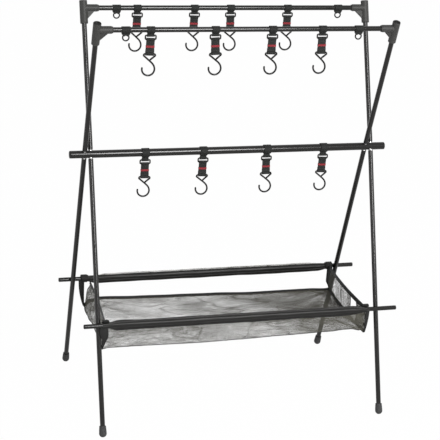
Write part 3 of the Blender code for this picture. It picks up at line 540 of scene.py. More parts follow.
# A shallow cap with a raised rim lies in the dish of each leg socket
cap_mesh = turned_mesh("socket_cap", (
    (0.0148, 0), (0.0148, 0.0087), (0.0160, 0.0087), (0.0163, 0.0084), (0.0163, 0.0062),
    (0.0157, 0.0056), (0.0155, 0),
), ALONG_Z, 40, PLUG_PLASTIC)
for rail, side in (("front", -1), ("back", 1)):
    for end, where in ((-1, "left"), (1, "right")):
        place = (MIDDLE_X + side * FRAME_SHIFT + end * LEG_X, side * RAIL_Y, RAIL_Z)
        facing = Matrix.Rotation(0 if end < 0 else math.pi, 3, "Z")
        turn = (Matrix.Rotation(-side * UPPER_TILT, 3, "X") @ facing).to_euler()
        joint = add_piece(
            f"{rail}_{where}_corner_joint", corner_mesh, "rack", place, turn)
        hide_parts(f"{rail}_{where}_corner")
        add_piece(f"{rail}_{where}_corner_cap", cap_mesh, "rack", place, turn)


# Feet. Rubber cups pushed on to the lower ends of the legs, with a ribbed rim. Each ends in a
# ball, which is flat where it stands on the ground.
FOOT_R = 0.0100
FOOT_CUP_LENGTH = 0.0300
FOOT_BORE_R = 0.0067
FOOT_RUBBER = mottled_finish(
    "foot_rubber", (0.036, 0.036, 0.037), (0.052, 0.052, 0.053), (0.62, 0.80), 0.35,
    1100, 45, 0.22, 0.0004)


def foot_cup(side):
    """A foot hung from the middle crossing along its leg."""
    down = Vector((0, -side * math.sin(LOWER_TILT), -math.cos(LOWER_TILT)))
    ball = FOOT_BALL_Z / math.cos(LOWER_TILT)
    turns = [math.radians(9 * k) for k in range(10)]
    rounding = [(LOWER_LENGTH - ball + FOOT_R * math.sin(t), FOOT_R * math.cos(t))
                for t in turns]
    rim = LOWER_LENGTH - FOOT_CUP_LENGTH
    bore_floor = LOWER_LENGTH - FOOT_BORE_FLOOR
    profile = [(bore_floor, 0), (bore_floor, FOOT_BORE_R), (rim + 0.0004, FOOT_BORE_R)]
    profile += [(rim + below, radius) for below, radius in (
        (0, 0.0070), (0, 0.0082), (0.0003, 0.0087), (0.0010, 0.0089), (0.0035, 0.0090),
        (0.0038, 0.0087), (0.0045, 0.0087), (0.0048, 0.0091), (0.0140, 0.0098))]
    profile += [*rounding[:-1], (rounding[-1][0], 0)]
    mesh = turned_mesh("foot_cup", profile, straight_axis(down), 40, FOOT_RUBBER)
    work = bmesh.new()
    work.from_mesh(mesh)
    cut = bmesh.ops.bisect_plane(
        work, geom=work.verts[:] + work.edges[:] + work.faces[:],
        plane_co=(0, 0, -MIDDLE_Z + 0.0001), plane_no=(0, 0, -1), clear_outer=True)
    sole = [item for item in cut["geom_cut"] if isinstance(item, bmesh.types.BMEdge)]
    bmesh.ops.contextual_create(work, geom=sole)
    bmesh.ops.recalc_face_normals(work, faces=work.faces)
    work.to_mesh(mesh)
    work.free()
    mesh.set_sharp_from_angle(angle=math.radians(40))
    return mesh


for foot_row, side in (("back", -1), ("front", 1)):
    foot_mesh = foot_cup(side)
    for end, where in ((-1, "left"), (1, "right")):
        foot = add_piece(
            f"{foot_row}_{where}_foot_cup", foot_mesh, "rack",
            (MIDDLE_X + side * FRAME_SHIFT + end * LEG_X, 0, MIDDLE_Z))
        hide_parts(f"{foot_row}_{where}_foot")


# Hook hangers. A webbing loop is sewn round the bar and holds a flat wire ring. A doubled
# webbing strap with a plain red band hangs from the ring, and a bent wire hook from the strap.
RING_WIRE_R = 0.0019
RING_HALF_W, RING_HALF_H, RING_CORNER = 0.0133, 0.0050, 0.0026
STRAP_DROP = 0.0359
HOOK_R = 0.0023
BAND_THICK = 0.0015
FOLD_GAP = 0.0001
BAR_SLACK, RING_SLACK, HOOK_SLACK = 0.0004, 0.0002, 0.0007
LOOP_HALF_W, LOOP_WAIST = 0.0100, 0.0014
STRAP_HALF_W, STRAP_FLARE = 0.0106, 0.0008
RED_TOP, RED_BOTTOM, RED_HALF_W, RED_CORNER = -0.0152, -0.0204, 0.0112, 0.0011
BOWL_MIDDLE, BOWL_R = (-0.0016, -0.0383), 0.0159
# Each row's pitch, and a stitch's length and breadth
LOOP_STITCH, STRAP_STITCH = (0.0020, 0.0015, 0.0005), (0.0021, 0.0016, 0.0006)


def webbing_group():
    """Woven ribs: cords along the band that dip in turn under the cross threads."""
    group, given, out = new_group("woven_ribs", ("Rib", "Pick"), ("Height", "Shade"))

    def step(operation, *values):
        return calc(group, operation, *values)

    split = group.nodes.new("ShaderNodeSeparateXYZ")
    group.links.new(given["Place"], split.inputs["Vector"])
    across = step("DIVIDE", split.outputs["X"], given["Rib"])
    along = step("DIVIDE", split.outputs["Y"], given["Pick"])
    rib = step("ABSOLUTE", step("SINE", step("MULTIPLY", across, math.pi)))
    shift = step("MULTIPLY", step("FLOOR", across), 0.5)
    wave = step("SINE", step("MULTIPLY", step("ADD", along, shift), 2 * math.pi))
    height = step(
        "MULTIPLY", step("POWER", rib, 0.6), step("MULTIPLY_ADD", wave, 0.22, 0.78))
    group.links.new(height, out["Height"])
    # The Shade mask is half random fuzz and half the ribs' height, so the colour is painted
    # darker in the grooves between the cords: painted shade.
    fuzz = cloud(group, given["Place"], 160.0, 2.0)
    group.links.new(
        step("MULTIPLY_ADD", fuzz, 0.5, step("MULTIPLY", height, 0.5)), out["Shade"])
    return group


WOVEN_RIBS = webbing_group()


def woven_finish(name, deep, raised, rough, specular, rib, pick, bump, distance, sheen):
    """A woven band, laid out by its own length and width."""
    mat, tree, shader = blank_finish(name, rough, specular)
    layout = tree.nodes.new("ShaderNodeUVMap")
    layout.uv_map = "cut"
    masks = use_group(tree, WOVEN_RIBS, layout.outputs["UV"], Rib=rib, Pick=pick)
    # Deep colour in the grooves, raised colour on the crowns of the ribs: painted shade in the
    # grooves, over random tone.
    paint(tree, shader, masks["Shade"], deep, raised)
    set_bump(tree, shader, masks["Height"], bump, distance)
    for label, value in zip(("Sheen Weight", "Sheen Roughness"), sheen):
        shader.inputs[label].default_value = value
    return mat


WEBBING = woven_finish(
    "black_webbing", (0.0035, 0.0038, 0.0036), (0.022, 0.0235, 0.022), 0.55, 0.2,
    0.0016, 0.0013, 0.7, 0.0004, (0.02, 0.5))
RED_BAND = woven_finish(
    "red_woven_band", (0.15, 0.010, 0.015), (0.34, 0.034, 0.045), 0.55, 0.2,
    0.0007, 0.0007, 0.4, 0.0004, (0.08, 0.5))
THREAD, thread_tree, thread_shader = blank_finish("sewing_thread", 0.6, 0.5)
twist = cloud(
    thread_tree, thread_tree.nodes.new("ShaderNodeTexCoord").outputs["Object"], 2500, 2.0)
paint(thread_tree, thread_shader, twist, (0.016, 0.018, 0.017), (0.05, 0.054, 0.052))
set_bump(thread_tree, thread_shader, twist, 0.4, 0.0002)
BLACK_WIRE = mottled_finish(
    "black_wire", (0.0060, 0.0060, 0.0058), (0.0110, 0.0110, 0.0105), (0.16, 0.24), 0.24,
    1200, 50, 0.04, 0.0001)


def rounded(line, times, closed=True):
    """A line with its corners cut again and again, until it bends smoothly."""
    line = [Vector(p) for p in line]
    for _ in range(times):
        softer = []
        pairs = list(zip(line, line[1:] + line[:1])) if closed else list(zip(line, line[1:]))
        for near, far in pairs:
            softer += [near.lerp(far, 0.25), near.lerp(far, 0.75)]
        line = softer if closed else [line[0], *softer, line[-1]]
    return line


def two_eyes(top, bottom, drop):
    """The middle line (y, z) of webbing round two bars; each has a radius and a slack."""
    line = []
    half_gap = BAND_THICK / 2 + FOLD_GAP
    for (bar_r, slack), centre_z, middle in (
            (top, 0, math.pi / 2), (bottom, -drop, -math.pi / 2)):
        radius = bar_r + slack + BAND_THICK / 2
        opening = math.asin(min(0.95, half_gap / radius)) + math.radians(24)
        step = (2 * math.pi - 2 * opening) / 13
        corner_r = radius / math.cos(step / 2) * 1.004
        line += [
            (corner_r * math.cos(middle + step * (k - 6.5)),
             centre_z + corner_r * math.sin(middle + step * (k - 6.5))) for k in range(14)]
        neck = centre_z - math.copysign(math.sqrt(radius ** 2 - half_gap ** 2), middle)
        if middle > 0:
            top_neck = neck - 0.16 * radius
            at = len(line)
        else:
            bottom_neck = min(neck + 0.22 * radius, top_neck - 0.0002)
    down = [(-half_gap, z) for z in (top_neck, (top_neck + bottom_neck) / 2, bottom_neck)]
    line = line[:at] + down + line[at:] + [(-y, z) for y, z in reversed(down)]
    return rounded(line, 1)


def lay_out(mesh, places, round_trip=0.0):
    """Lay a mesh out flat by its points; where a closed round meets, the layout runs on."""
    layer = mesh.uv_layers.new(name="cut")
    for face in mesh.polygons:
        flat = [places[mesh.loops[corner].vertex_index] for corner in face.loop_indices]
        run = [v for _, v in flat]
        meets = max(run) - min(run) > round_trip / 2 > 0
        for corner, (u, v) in zip(face.loop_indices, flat):
            layer.data[corner].uv = (u, v + round_trip * (meets and v < round_trip / 2))
    return mesh


def band_mesh(name, line, half_width, lanes=2):
    """A woven band laid along a closed (y, z) line, with rounded selvedges."""
    count = len(line)
    edge = BAND_THICK * 0.45
    points = []
    layout = []
    travelled = 0.0
    for k, here in enumerate(line):
        tangent = (line[(k + 1) % count] - line[k - 1]).normalized()
        normal = Vector((tangent.y, -tangent.x))
        w = half_width(here.y)
        upper = [(-w + edge * 0.3, 0.36),
                 *[(-w + edge + 2 * (w - edge) * m / lanes, 0.5) for m in range(lanes + 1)],
                 (w - edge * 0.3, 0.36)]
        section = [(-w, 0), *upper, (w, 0), *[(x, -lift) for x, lift in reversed(upper)]]
        for x, lift in section:
            at = here + normal * lift * BAND_THICK
            points.append((x, at.x, at.y))
            layout.append((x, travelled))
        travelled += (line[(k + 1) % count] - here).length
    faces = ring_faces(count, len(section), closed=True)
    return lay_out(finished_mesh(name, points, faces, WEBBING, 50), layout, travelled)


def sewn(mesh, rows, pitch, length, breadth):
    """Add rows of thread stitches, each row from one point to another, to a mesh."""
    work = bmesh.new()
    work.from_mesh(mesh)
    for start, end, outward in rows:
        start, end, outward = Vector(start), Vector(end), Vector(outward)
        run = end - start
        along = run.normalized()
        count = max(1, round(run.length / pitch))
        aside = outward.cross(along)
        turn = Matrix((along, aside, outward)).transposed().to_4x4()
        for k in range(count):
            place = Matrix.Translation(start + run * (k + 0.5) / count)
            size = Matrix.Diagonal((length / 2, breadth / 2, breadth / 2, 1))
            made = bmesh.ops.create_uvsphere(
                work, u_segments=8, v_segments=4, radius=1, matrix=place @ turn @ size)
            for vertex in made["verts"]:
                for face in vertex.link_faces:
                    face.material_index = 1
                    face.smooth = True
    work.to_mesh(mesh)
    work.free()
    mesh.materials.append(THREAD)
    return mesh


def wire_mesh(name, path, radius, closed=False):
    """A round wire along (x, z) points, with rounded ends."""
    sides = 16
    rings = []
    count = len(path)
    for k, here in enumerate(path):
        before = path[k - 1] if closed or k else here
        after = path[(k + 1) % count] if closed or k < count - 1 else here
        along = (after - before).normalized()
        rings.append((here, along, radius))
    if not closed:
        start, start_along, _ = rings[0]
        end, end_along, _ = rings[-1]
        caps = [(math.sin(t), math.cos(t)) for t in (math.radians(30), math.radians(60),
                                                     math.radians(82))]
        rings = [(start - start_along * radius * s, start_along, radius * c)
                 for s, c in reversed(caps)] + rings
        rings += [(end + end_along * radius * s, end_along, radius * c) for s, c in caps]
    points = []
    for here, along, size in rings:
        side = Vector((-along.y, along.x))
        for k in range(sides):
            turn = 2 * math.pi * k / sides
            at = here + side * size * math.cos(turn)
            points.append((at.x, size * math.sin(turn), at.y))
    faces = ring_faces(len(rings), sides, closed=closed, capped=not closed)
    return finished_mesh(name, points, faces, BLACK_WIRE, 60)


def bend(centre, radius, start, end, count):
    """Points of an arc in a plane, between two angles in degrees."""
    turns = [math.radians(start + (end - start) * k / (count - 1)) for k in range(count)]
    return [Vector((centre[0] + radius * math.cos(t), centre[1] + radius * math.sin(t)))
            for t in turns]


def rounded_oblong(half_wide, half_high, corner, count, middle_height=0.0):
    """Points of a rectangle with round corners, each corner of a number of points."""
    line = []
    for quarter, (sx, sz) in enumerate(((1, 1), (-1, 1), (-1, -1), (1, -1))):
        middle = (sx * (half_wide - corner), middle_height + sz * (half_high - corner))
        line += bend(middle, corner, 90 * quarter, 90 * quarter + 90, count)
    return line


def seams(half_length, heights):
    """Rows of stitches across both faces of a doubled band."""
    face = BAND_THICK + FOLD_GAP
    return [((-half_length, side * face, z), (half_length, side * face, z), (0, side, 0))
            for side in (-1, 1) for z in heights]


def loop_mesh(bar_r, ring_drop):
    """The webbing loop; its origin is on the bar's axis."""
    def half_width(z):
        return LOOP_HALF_W - LOOP_WAIST * math.exp(-((z + bar_r + 0.0040) / 0.0030) ** 2)

    line = two_eyes((bar_r, BAR_SLACK), (RING_WIRE_R, RING_SLACK), bar_r + ring_drop)
    mesh = band_mesh("hanger_loop", line, half_width)
    return sewn(mesh, seams(0.0070, (-bar_r - 0.0046,)), *LOOP_STITCH)


def ring_mesh(bar_r, ring_drop):
    """The flat wire ring, as a rounded rectangle."""
    path = rounded_oblong(
        RING_HALF_W, RING_HALF_H, RING_CORNER, 7, -bar_r - ring_drop - RING_HALF_H)
    return wire_mesh("hanger_ring", path, RING_WIRE_R, closed=True)


def strap_mesh():
    """The doubled strap, a little broader above its lower eye; its origin is the ring's bar."""
    def half_width(z):
        above_eye = (z + STRAP_DROP - 0.0068) / 0.0036
        return STRAP_HALF_W + STRAP_FLARE * math.exp(-above_eye ** 2)

    line = two_eyes((RING_WIRE_R, RING_SLACK + 0.0001), (HOOK_R, HOOK_SLACK), STRAP_DROP)
    heights = (-0.0062, -0.0078, -STRAP_DROP + 0.0078, -STRAP_DROP + 0.0062)
    mesh = band_mesh("hanger_strap", line, half_width)
    return sewn(mesh, seams(0.0096, heights), *STRAP_STITCH)


def red_band_mesh():
    """A plain woven band folded round the strap and caught in its edges."""
    line = rounded_oblong(RED_HALF_W, BAND_THICK + 0.0005, RED_CORNER, 5)
    hem, turned_in = 0.0002, 0.0003
    points = []
    layout = []
    for z, shrink in ((RED_TOP - hem, turned_in), (RED_TOP, 0), (RED_BOTTOM, 0),
                      (RED_BOTTOM + hem, turned_in)):
        travelled = 0.0
        for k, here in enumerate(line):
            points.append((*(here - here.normalized() * shrink), z))
            layout.append((travelled, z))
            travelled += (line[(k + 1) % len(line)] - here).length
    return lay_out(
        finished_mesh("red_band", points, ring_faces(4, len(line)), RED_BAND, 60), layout)


def hook_line():
    """The wire's line in the (x, z) plane, from the brace's end round to the tip."""
    joint = Vector((0.0, -0.0167))
    left = Vector((-0.0150, -0.0042))
    right = Vector((0.0150, -0.0042))
    brace = (joint - right).normalized()
    shank = (joint - left).normalized()
    shape = [joint - brace * 0.0038, right.lerp(joint, 0.5), right + brace * 0.0026, right,
             Vector((0.0136, -0.0007)), Vector((0.0105, 0.0)), Vector((0.0, 0.0)),
             Vector((-0.0105, 0.0)), Vector((-0.0136, -0.0007)), left,
             left + shank * 0.0026, left.lerp(joint, 0.5), joint]
    bowl = bend(BOWL_MIDDLE, BOWL_R, 12, -190, 34)
    start, stop = joint, bowl[0]
    reach = (stop - start).length
    arrive = Vector((math.sin(math.radians(12)), -math.cos(math.radians(12))))
    near = start + shank * reach * 0.55
    far = stop - arrive * reach * 0.30
    for k in range(1, 9):
        t = k / 9
        s = 1 - t
        shape.append(s ** 3 * start + 3 * s * s * t * near + 3 * s * t * t * far + t ** 3 * stop)
    return rounded(shape + bowl, 2, closed=False)


strap_shape = strap_mesh()
band_shape = red_band_mesh()
hook_shape = wire_mesh("hanger_hook", hook_line(), HOOK_R)
# Each row's bar and how far below it the rings hang. Then, for each hanger, its place from -1 at
# the left legs to 1 at the right, and the few degrees by which its strap and hook hang askew
hanger_rows = (
    ("front", -RAIL_Y, RAIL_Z, TUBE_R, 0.0072, (
        (-0.6744, 2.4, 1.2), (-0.2506, -3.0, -2.2), (0.1318, 1.6, -2.0), (0.4729, -0.6, 2.2))),
    ("back", RAIL_Y, RAIL_Z, TUBE_R, 0.0072, (
        (-0.6124, 1.8, 2.0), (-0.2145, 2.2, 1.2), (0.0413, -1.2, -2.4), (0.4522, 0.6, -1.0))),
    ("middle", 0.0, MIDDLE_Z, MIDDLE_BAR_R, 0.0100, (
        (-0.6047, 0.8, 1.0), (-0.1990, 1.8, -1.9), (0.2558, -1.2, -1.8), (0.6693, 2.6, -0.6))),
)
for row, y, z, bar_r, ring_drop, places in hanger_rows:
    loop_shape = loop_mesh(bar_r, ring_drop)
    ring_shape = ring_mesh(bar_r, ring_drop)
    ring_low = z - bar_r - ring_drop - 2 * RING_HALF_H
    for number, (share, strap_lean, hook_lean) in enumerate(places, 1):
        name = f"{row}_{number}"
        x = MIDDLE_X + share * LEG_X
        loop = add_piece(name + "_loop_webbing", loop_shape, name + "_loop",
                         (x, y, z))
        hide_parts(name + "_loop")
        add_piece(name + "_ring", ring_shape, name + "_loop", (x, y, z))
        askew = math.radians(strap_lean)
        strap = add_piece(name + "_strap_webbing", strap_shape, name + "_strap",
                          (x, y, ring_low), (0, askew, 0))
        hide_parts(name + "_strap")
        add_piece(name + "_red_band", band_shape, name + "_strap",
                  (x, y, ring_low), (0, askew, 0))
        eye = (x - STRAP_DROP * math.sin(askew), y, ring_low - STRAP_DROP * math.cos(askew))
        hook = add_piece(name + "_hook_wire", hook_shape, name + "_hook",
                         eye, (0, math.radians(hook_lean), 0))
        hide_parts(name + "_hook")


# Tie-off rings. Near each end of a rail a wider webbing loop holds a round ring, which takes a
# clip or a guy line. The webbing bunches round the ring's upper half.
TIE_RING_R = 0.0078
TIE_WIRE_R = 0.0018
TIE_DROP = 0.0046
TIE_BUNCH = 58.0
TIE_HALF_W = 0.0108


def eased(share):
    """A share held between 0 and 1, which sets off and arrives softly."""
    t = min(1.0, max(0.0, share))
    return t * t * (3 - 2 * t)


def tie_loop_mesh():
    """The tie loop; across its width the lower fold follows the ring's curve."""
    line = two_eyes((TUBE_R, BAR_SLACK), (TIE_WIRE_R, RING_SLACK), TUBE_R + TIE_DROP)
    mesh = band_mesh("tie_loop", line, lambda z: TIE_HALF_W, lanes=12)
    ring_z = -TUBE_R - TIE_DROP - TIE_RING_R
    bends_from = -TUBE_R - 0.0020
    for vertex in mesh.vertices:
        x, y, z = vertex.co
        if z > bends_from:
            continue
        turn = math.radians(TIE_BUNCH) * x / TIE_HALF_W
        away = z - ring_z
        bent = Vector((away * math.sin(turn), y, ring_z + away * math.cos(turn)))
        vertex.co = vertex.co.lerp(bent, eased((bends_from - z) / 0.0026))
    return mesh


tie_loop_shape = tie_loop_mesh()
tie_ring_path = bend((0, -TUBE_R - TIE_DROP - TIE_RING_R), TIE_RING_R, 0, 352.5, 48)
tie_ring_shape = wire_mesh("tie_ring", tie_ring_path, TIE_WIRE_R, closed=True)
for row, side, places in (("front", -1, (-0.8346, 0.7235)), ("back", 1, (-0.7545, 0.8217))):
    for where, share in zip(("left", "right"), places):
        node = f"{row}_{where}_tie_ring"
        place = (MIDDLE_X + share * LEG_X, side * RAIL_Y, RAIL_Z)
        piece = add_piece(node + "_webbing", tie_loop_shape, node, place)
        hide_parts(node)
        add_piece(node + "_wire", tie_ring_shape, node, place)


# Shelf sleeves. Black nylon channels, cut wide and drawn in at their ends, through which the
# shelf bars are pushed. Above and below its bar a sleeve lies flat and a little wavy.
SHELF_HALF = 0.3705
SLEEVE_CLOTH = 0.0006
SLEEVE_REACH = {"front": 0.0122, "back": 0.0086}
SLEEVE_BELOW = 0.0157
UNROLLED_R = 0.0125
BULGE_HALF, BULGE_REACH = 0.0075, 0.0079
FLAP_FROM, FLAP_HALF, FLAP_ROOT = 0.0062, 0.0010, 0.0024
FLAP_CREASE, FLAP_WAVE = 0.0005, 0.0022
TIGHT_R = SHELF_BAR_R + 0.0013
LEFT_TIGHT_TO, RIGHT_TIGHT_TO = 0.012, 0.006
STITCH_FROM, STITCH_TO, STITCH_OUT, STITCH_Z = -0.325, 0.315, 0.0019, -0.0118
SLEEVE_STITCH = (0.0034, 0.0024, 0.0006)
NYLON = woven_finish(
    "black_nylon", (0.0042, 0.0040, 0.0036), (0.0122, 0.0117, 0.0105), 0.35, 0.26,
    0.0007, 0.0007, 0.25, 0.0002, (0.04, 0.4))


def waver(x, y, z):
    """A smooth value that wavers about 0 from place to place."""
    return noise.noise(Vector((x, y, z)))


def sleeve_edges(row, x):
    """How far a sleeve reaches above and below its bar's axis, along its length."""
    seed = 3.0 if row == "front" else 11.0
    above = SLEEVE_REACH[row] + 0.0011 * waver(x * 11, seed, 0)
    if row == "front":
        # It stands up a little near its left end
        above += 0.0014 * math.exp(-((x + 0.318) / 0.022) ** 2)
    return above, SLEEVE_BELOW + 0.0009 * waver(x * 9, seed, 5)


def sleeve_section(x, turn, above, below, loose, skin):
    """A sleeve's (y, z) at an angle round its bar: a bulge over the bar between flat flaps."""
    c, s = math.cos(turn), math.sin(turn)
    reach = (above if s > 0 else below) - skin
    z = s * reach
    past = max(0.0, abs(z) - FLAP_FROM)
    bulge = (BULGE_HALF - skin) * math.sqrt(max(0.0, 1 - (z / BULGE_REACH) ** 2))
    flap = FLAP_HALF + FLAP_ROOT * math.exp(-past / 0.0020)
    flap *= min(1.0, math.sqrt(max(0.0, reach - abs(z)) / 0.0012))
    half = max(0.0001, (bulge ** 3 + flap ** 3) ** (1 / 3) - skin * 0.4)
    crease = FLAP_CREASE * waver(x * 16, z * 260, c * 2 + 3)
    wave = FLAP_WAVE * waver(x * 17, 4.0 if s > 0 else 8.0, 2)
    y = math.copysign(half + crease * min(1.0, half / 0.002), c)
    y += wave * min(1.0, past / 0.006)
    tight = TIGHT_R - skin + 0.0005 * math.sin(11 * turn + 3)
    return c * tight + loose * (y - c * tight), s * tight + loose * (z - s * tight)


def sleeve_mesh(row, left_tight, right_tight):
    """A sleeve about its bar: tight at the ends over the given lengths, flat between."""
    stations, sides = 170, 48
    points = []
    layout = []
    outside = [(0.0, i) for i in range(stations + 1)]
    for skin, i in outside + [(SLEEVE_CLOTH, i) for _, i in reversed(outside)]:
        x = -SHELF_HALF + 2 * SHELF_HALF * i / stations
        from_left = (x + SHELF_HALF - LEFT_TIGHT_TO) / left_tight
        from_right = (SHELF_HALF - RIGHT_TIGHT_TO - x) / right_tight
        loose = eased(min(from_left, from_right))
        above, below = sleeve_edges(row, x)
        for k in range(sides):
            turn = 2 * math.pi * k / sides
            points.append((x, *sleeve_section(x, turn, above, below, loose, skin)))
            layout.append((x, turn * UNROLLED_R))
    faces = ring_faces(2 * (stations + 1), sides, closed=True)
    mesh = lay_out(finished_mesh(row + "_sleeve", points, faces, NYLON, 70), layout,
                   2 * math.pi * UNROLLED_R)
    side = -1 if row == "front" else 1
    ends = [(x, side * STITCH_OUT, STITCH_Z) for x in (STITCH_FROM, STITCH_TO)]
    return sewn(mesh, [(*ends, (0, side, 0))], *SLEEVE_STITCH)


for row, y, z, tights in (("front", FRONT_BAR_Y, FRONT_BAR_Z, (0.030, 0.046)),
                          ("back", BACK_BAR_Y, BACK_BAR_Z, (0.034, 0.036))):
    piece = add_piece(
        row + "_sleeve_cloth", sleeve_mesh(row, *tights), "rack",
        (MIDDLE_X, y, z))
    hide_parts(row + "_shelf_sleeve")


# Mesh shelf. Knitted see-through mesh: a floor, a front wall sewn to the front sleeve, and end
# panels below a webbing edge. The right one is parted by a gap, and the back is open.
def knit_group():
    """See-through knit: staggered round holes, as wide as the given openness, which also carries
    painted shade.
    """
    group, given, out = new_group("knitted_holes", ("Pitch", "Hole"), ("Cover", "Height"))

    def step(operation, *values):
        return calc(group, operation, *values)

    split = group.nodes.new("ShaderNodeSeparateXYZ")
    group.links.new(given["Place"], split.inputs["Vector"])
    across = step("DIVIDE", split.outputs["X"], given["Pitch"])
    along = step("DIVIDE", split.outputs["Y"], given["Pitch"])
    shift = step("MULTIPLY", step("FLOOR", along), 0.5)
    cell_x = step("SUBTRACT", step("FRACT", step("ADD", across, shift)), 0.5)
    cell_y = step("SUBTRACT", step("FRACT", along), 0.5)
    away = step("SQRT", step(
        "ADD", step("MULTIPLY", cell_x, cell_x), step("MULTIPLY", cell_y, cell_y)))
    group.links.new(step("GREATER_THAN", away, given["Hole"]), out["Cover"])
    group.links.new(away, out["Height"])
    return group


def knit_finish():
    """Knitted mesh, whose holes vary in streaks and are pressed together along creases."""
    mat, tree, shader = blank_finish("knitted_mesh", 0.75, 0.25)
    layout = tree.nodes.new("ShaderNodeUVMap")
    layout.uv_map = "cut"
    openness_with_painted_shade = tree.nodes.new("ShaderNodeAttribute")
    openness_with_painted_shade.attribute_name = "openness_with_painted_shade"
    stretch = tree.nodes.new("ShaderNodeMapping")
    stretch.inputs["Scale"].default_value = (0.32, 1.0, 1.0)
    stretch.inputs["Rotation"].default_value = (0, 0, 0.20)
    tree.links.new(layout.outputs["UV"], stretch.inputs["Vector"])
    streak = cloud(tree, stretch.outputs["Vector"], 85, 4.0, 1.2)
    fold = cloud(tree, stretch.outputs["Vector"], 13, 1.5, 0.8)
    # Along the fold lines the holes close, which darkens them: partly denser cloth and partly
    # painted shade of the creases.
    off_crease = calc(tree, "MINIMUM", calc(tree, "DIVIDE", calc(
        tree, "ABSOLUTE", calc(tree, "SUBTRACT", fold, 0.5)), 0.022), 1.0)
    hole = calc(tree, "ADD", calc(tree, "MULTIPLY_ADD", streak, 0.24, -0.12),
                calc(tree, "MULTIPLY_ADD", off_crease, 0.110, -0.098))
    # The openness attribute is partly painted shade: the weave is drawn denser, and so darker,
    # where less light falls.
    masks = use_group(
        tree, knit_group(), layout.outputs["UV"], Pitch=0.0016,
        Hole=calc(tree, "ADD", hole, openness_with_painted_shade.outputs["Fac"]))
    tree.links.new(masks["Cover"], shader.inputs["Alpha"])
    set_bump(tree, shader, masks["Height"], 0.3, 0.0004)
    paint(tree, shader, streak, (0.045, 0.043, 0.035), (0.108, 0.104, 0.083))
    return mat


KNIT = knit_finish()
# Heights of the floor's front seam and back hem, along the shelf from its middle
FRONT_SEAM = (
    (-0.3703, 0.2160), (-0.350, 0.2186), (-0.308, 0.2186), (-0.0993, 0.2160), (0.0119, 0.2177),
    (0.1231, 0.2206), (0.262, 0.2230), (0.3038, 0.2258), (0.3233, 0.2258), (0.3500, 0.2210),
    (0.3630, 0.2147))
BACK_HEM = (
    (-0.3626, 0.2110), (-0.345, 0.2240), (-0.3138, 0.2300), (-0.2102, 0.2262), (-0.1067, 0.2240),
    (0.0116, 0.2220), (0.130, 0.2176), (0.2336, 0.2180), (0.3075, 0.2180), (0.3549, 0.2156),
    (0.3690, 0.2165))
# How far the weave is stretched open: at the back of the floor, and at its front. Both fall
# towards the right end, where the mesh is drawn denser and so darker: painted shade, as less
# light falls there.
BACK_OPENING_AND_PAINTED_SHADE = (
    (-0.370, 0.350), (-0.300, 0.375), (-0.150, 0.365), (-0.020, 0.330), (0.080, 0.285),
    (0.180, 0.235), (0.280, 0.170), (0.370, 0.125))
FRONT_OPENING_AND_PAINTED_SHADE = (
    (-0.370, 0.410), (-0.200, 0.430), (0.0, 0.425), (0.120, 0.410), (0.220, 0.360),
    (0.300, 0.330), (0.370, 0.300))
HEM_Y = BACK_BAR_Y - 0.0060
FLOOR_SAG, FLOOR_FOLD, FLOOR_GATHER, FLOOR_SWELL = 0.0055, 0.0024, 0.0022, 0.0015
WALL_BELLY, WALL_RIPPLE, WALL_RAY = 0.0020, 0.0016, 0.0042
PANEL_CREASE, PANEL_BELLY, PANEL_TUCK = 0.0030, 0.001, 0.0030
FRONT_EDGE_LEAN, BACK_EDGE_LEAN = {-1: 0.0, 1: 0.013}, {-1: 0.005, 1: 0.023}
WALL_TOP_DROP, WALL_TOP_SAG, WALL_TOP_SHIFT = 0.0070, 0.0075, 0.006
FACING_RISE, FACING_TUCK = 0.0052, 0.0014
GATHER_REACH = 0.085
DRAWN_CORNER = (0.363, 0.215)
TOP_INWARD, TOP_BOW, TOP_SAG = 0.0085, 0.0045, 0.0022
TOP_SLANT, TOP_FALL = {-1: 0.0165, 1: 0.0}, {-1: 0.0090, 1: 0.0010}
LEFT_EDGE_X, LEFT_EDGE_SLANT = -0.3703, 0.0077
RIGHT_EDGE_X, RIGHT_EDGE_SLANT = 0.3630, 0.0060
COLUMNS, ROWS, WALL_ROWS = 128, 34, 13
PANEL_FROM, GUSSET_TO = 11, 7
DRAPE_FRAMES = 24
MOST_SETTLING = 0.005


def read_off(table, x):
    """A value from a table of (place, value), smoothly between its entries."""
    for (x0, v0), (x1, v1) in zip(table, table[1:]):
        if x <= x1:
            return v0 + (v1 - v0) * eased((x - x0) / (x1 - x0))
    return table[-1][1]


def top_line(side, y):
    """The straight webbing edge above an end panel, between the two shelf bars."""
    share = (y - FRONT_BAR_Y) / (BACK_BAR_Y - FRONT_BAR_Y)
    inward = TOP_INWARD + TOP_BOW * math.sin(math.pi * share) + TOP_SLANT[side] * share
    x = MIDDLE_X + side * (SHELF_HALF - inward)
    sag = TOP_SAG * math.sin(math.pi * share)
    rise = (BACK_BAR_Z - FRONT_BAR_Z - TOP_FALL[side]) * share
    return Vector((x, y, FRONT_BAR_Z + rise - sag))


def gathers(x, y):
    """Creases that fan out over the floor from its four corners."""
    total = 0.0
    shelf_corners = ((-0.370, FRONT_BAR_Y), (0.363, FRONT_BAR_Y), (-0.363, HEM_Y), (0.369, HEM_Y))
    for k, (cx, cy) in enumerate(shelf_corners):
        away = math.hypot(x - cx, y - cy)
        turn = math.atan2(abs(y - cy), abs(x - cx) + 0.001)
        near = math.exp(-away / GATHER_REACH) * min(1.0, away / 0.02)
        total += near * waver(turn * 7.5, k * 3.1, away * 3)
    return 2.2 * total


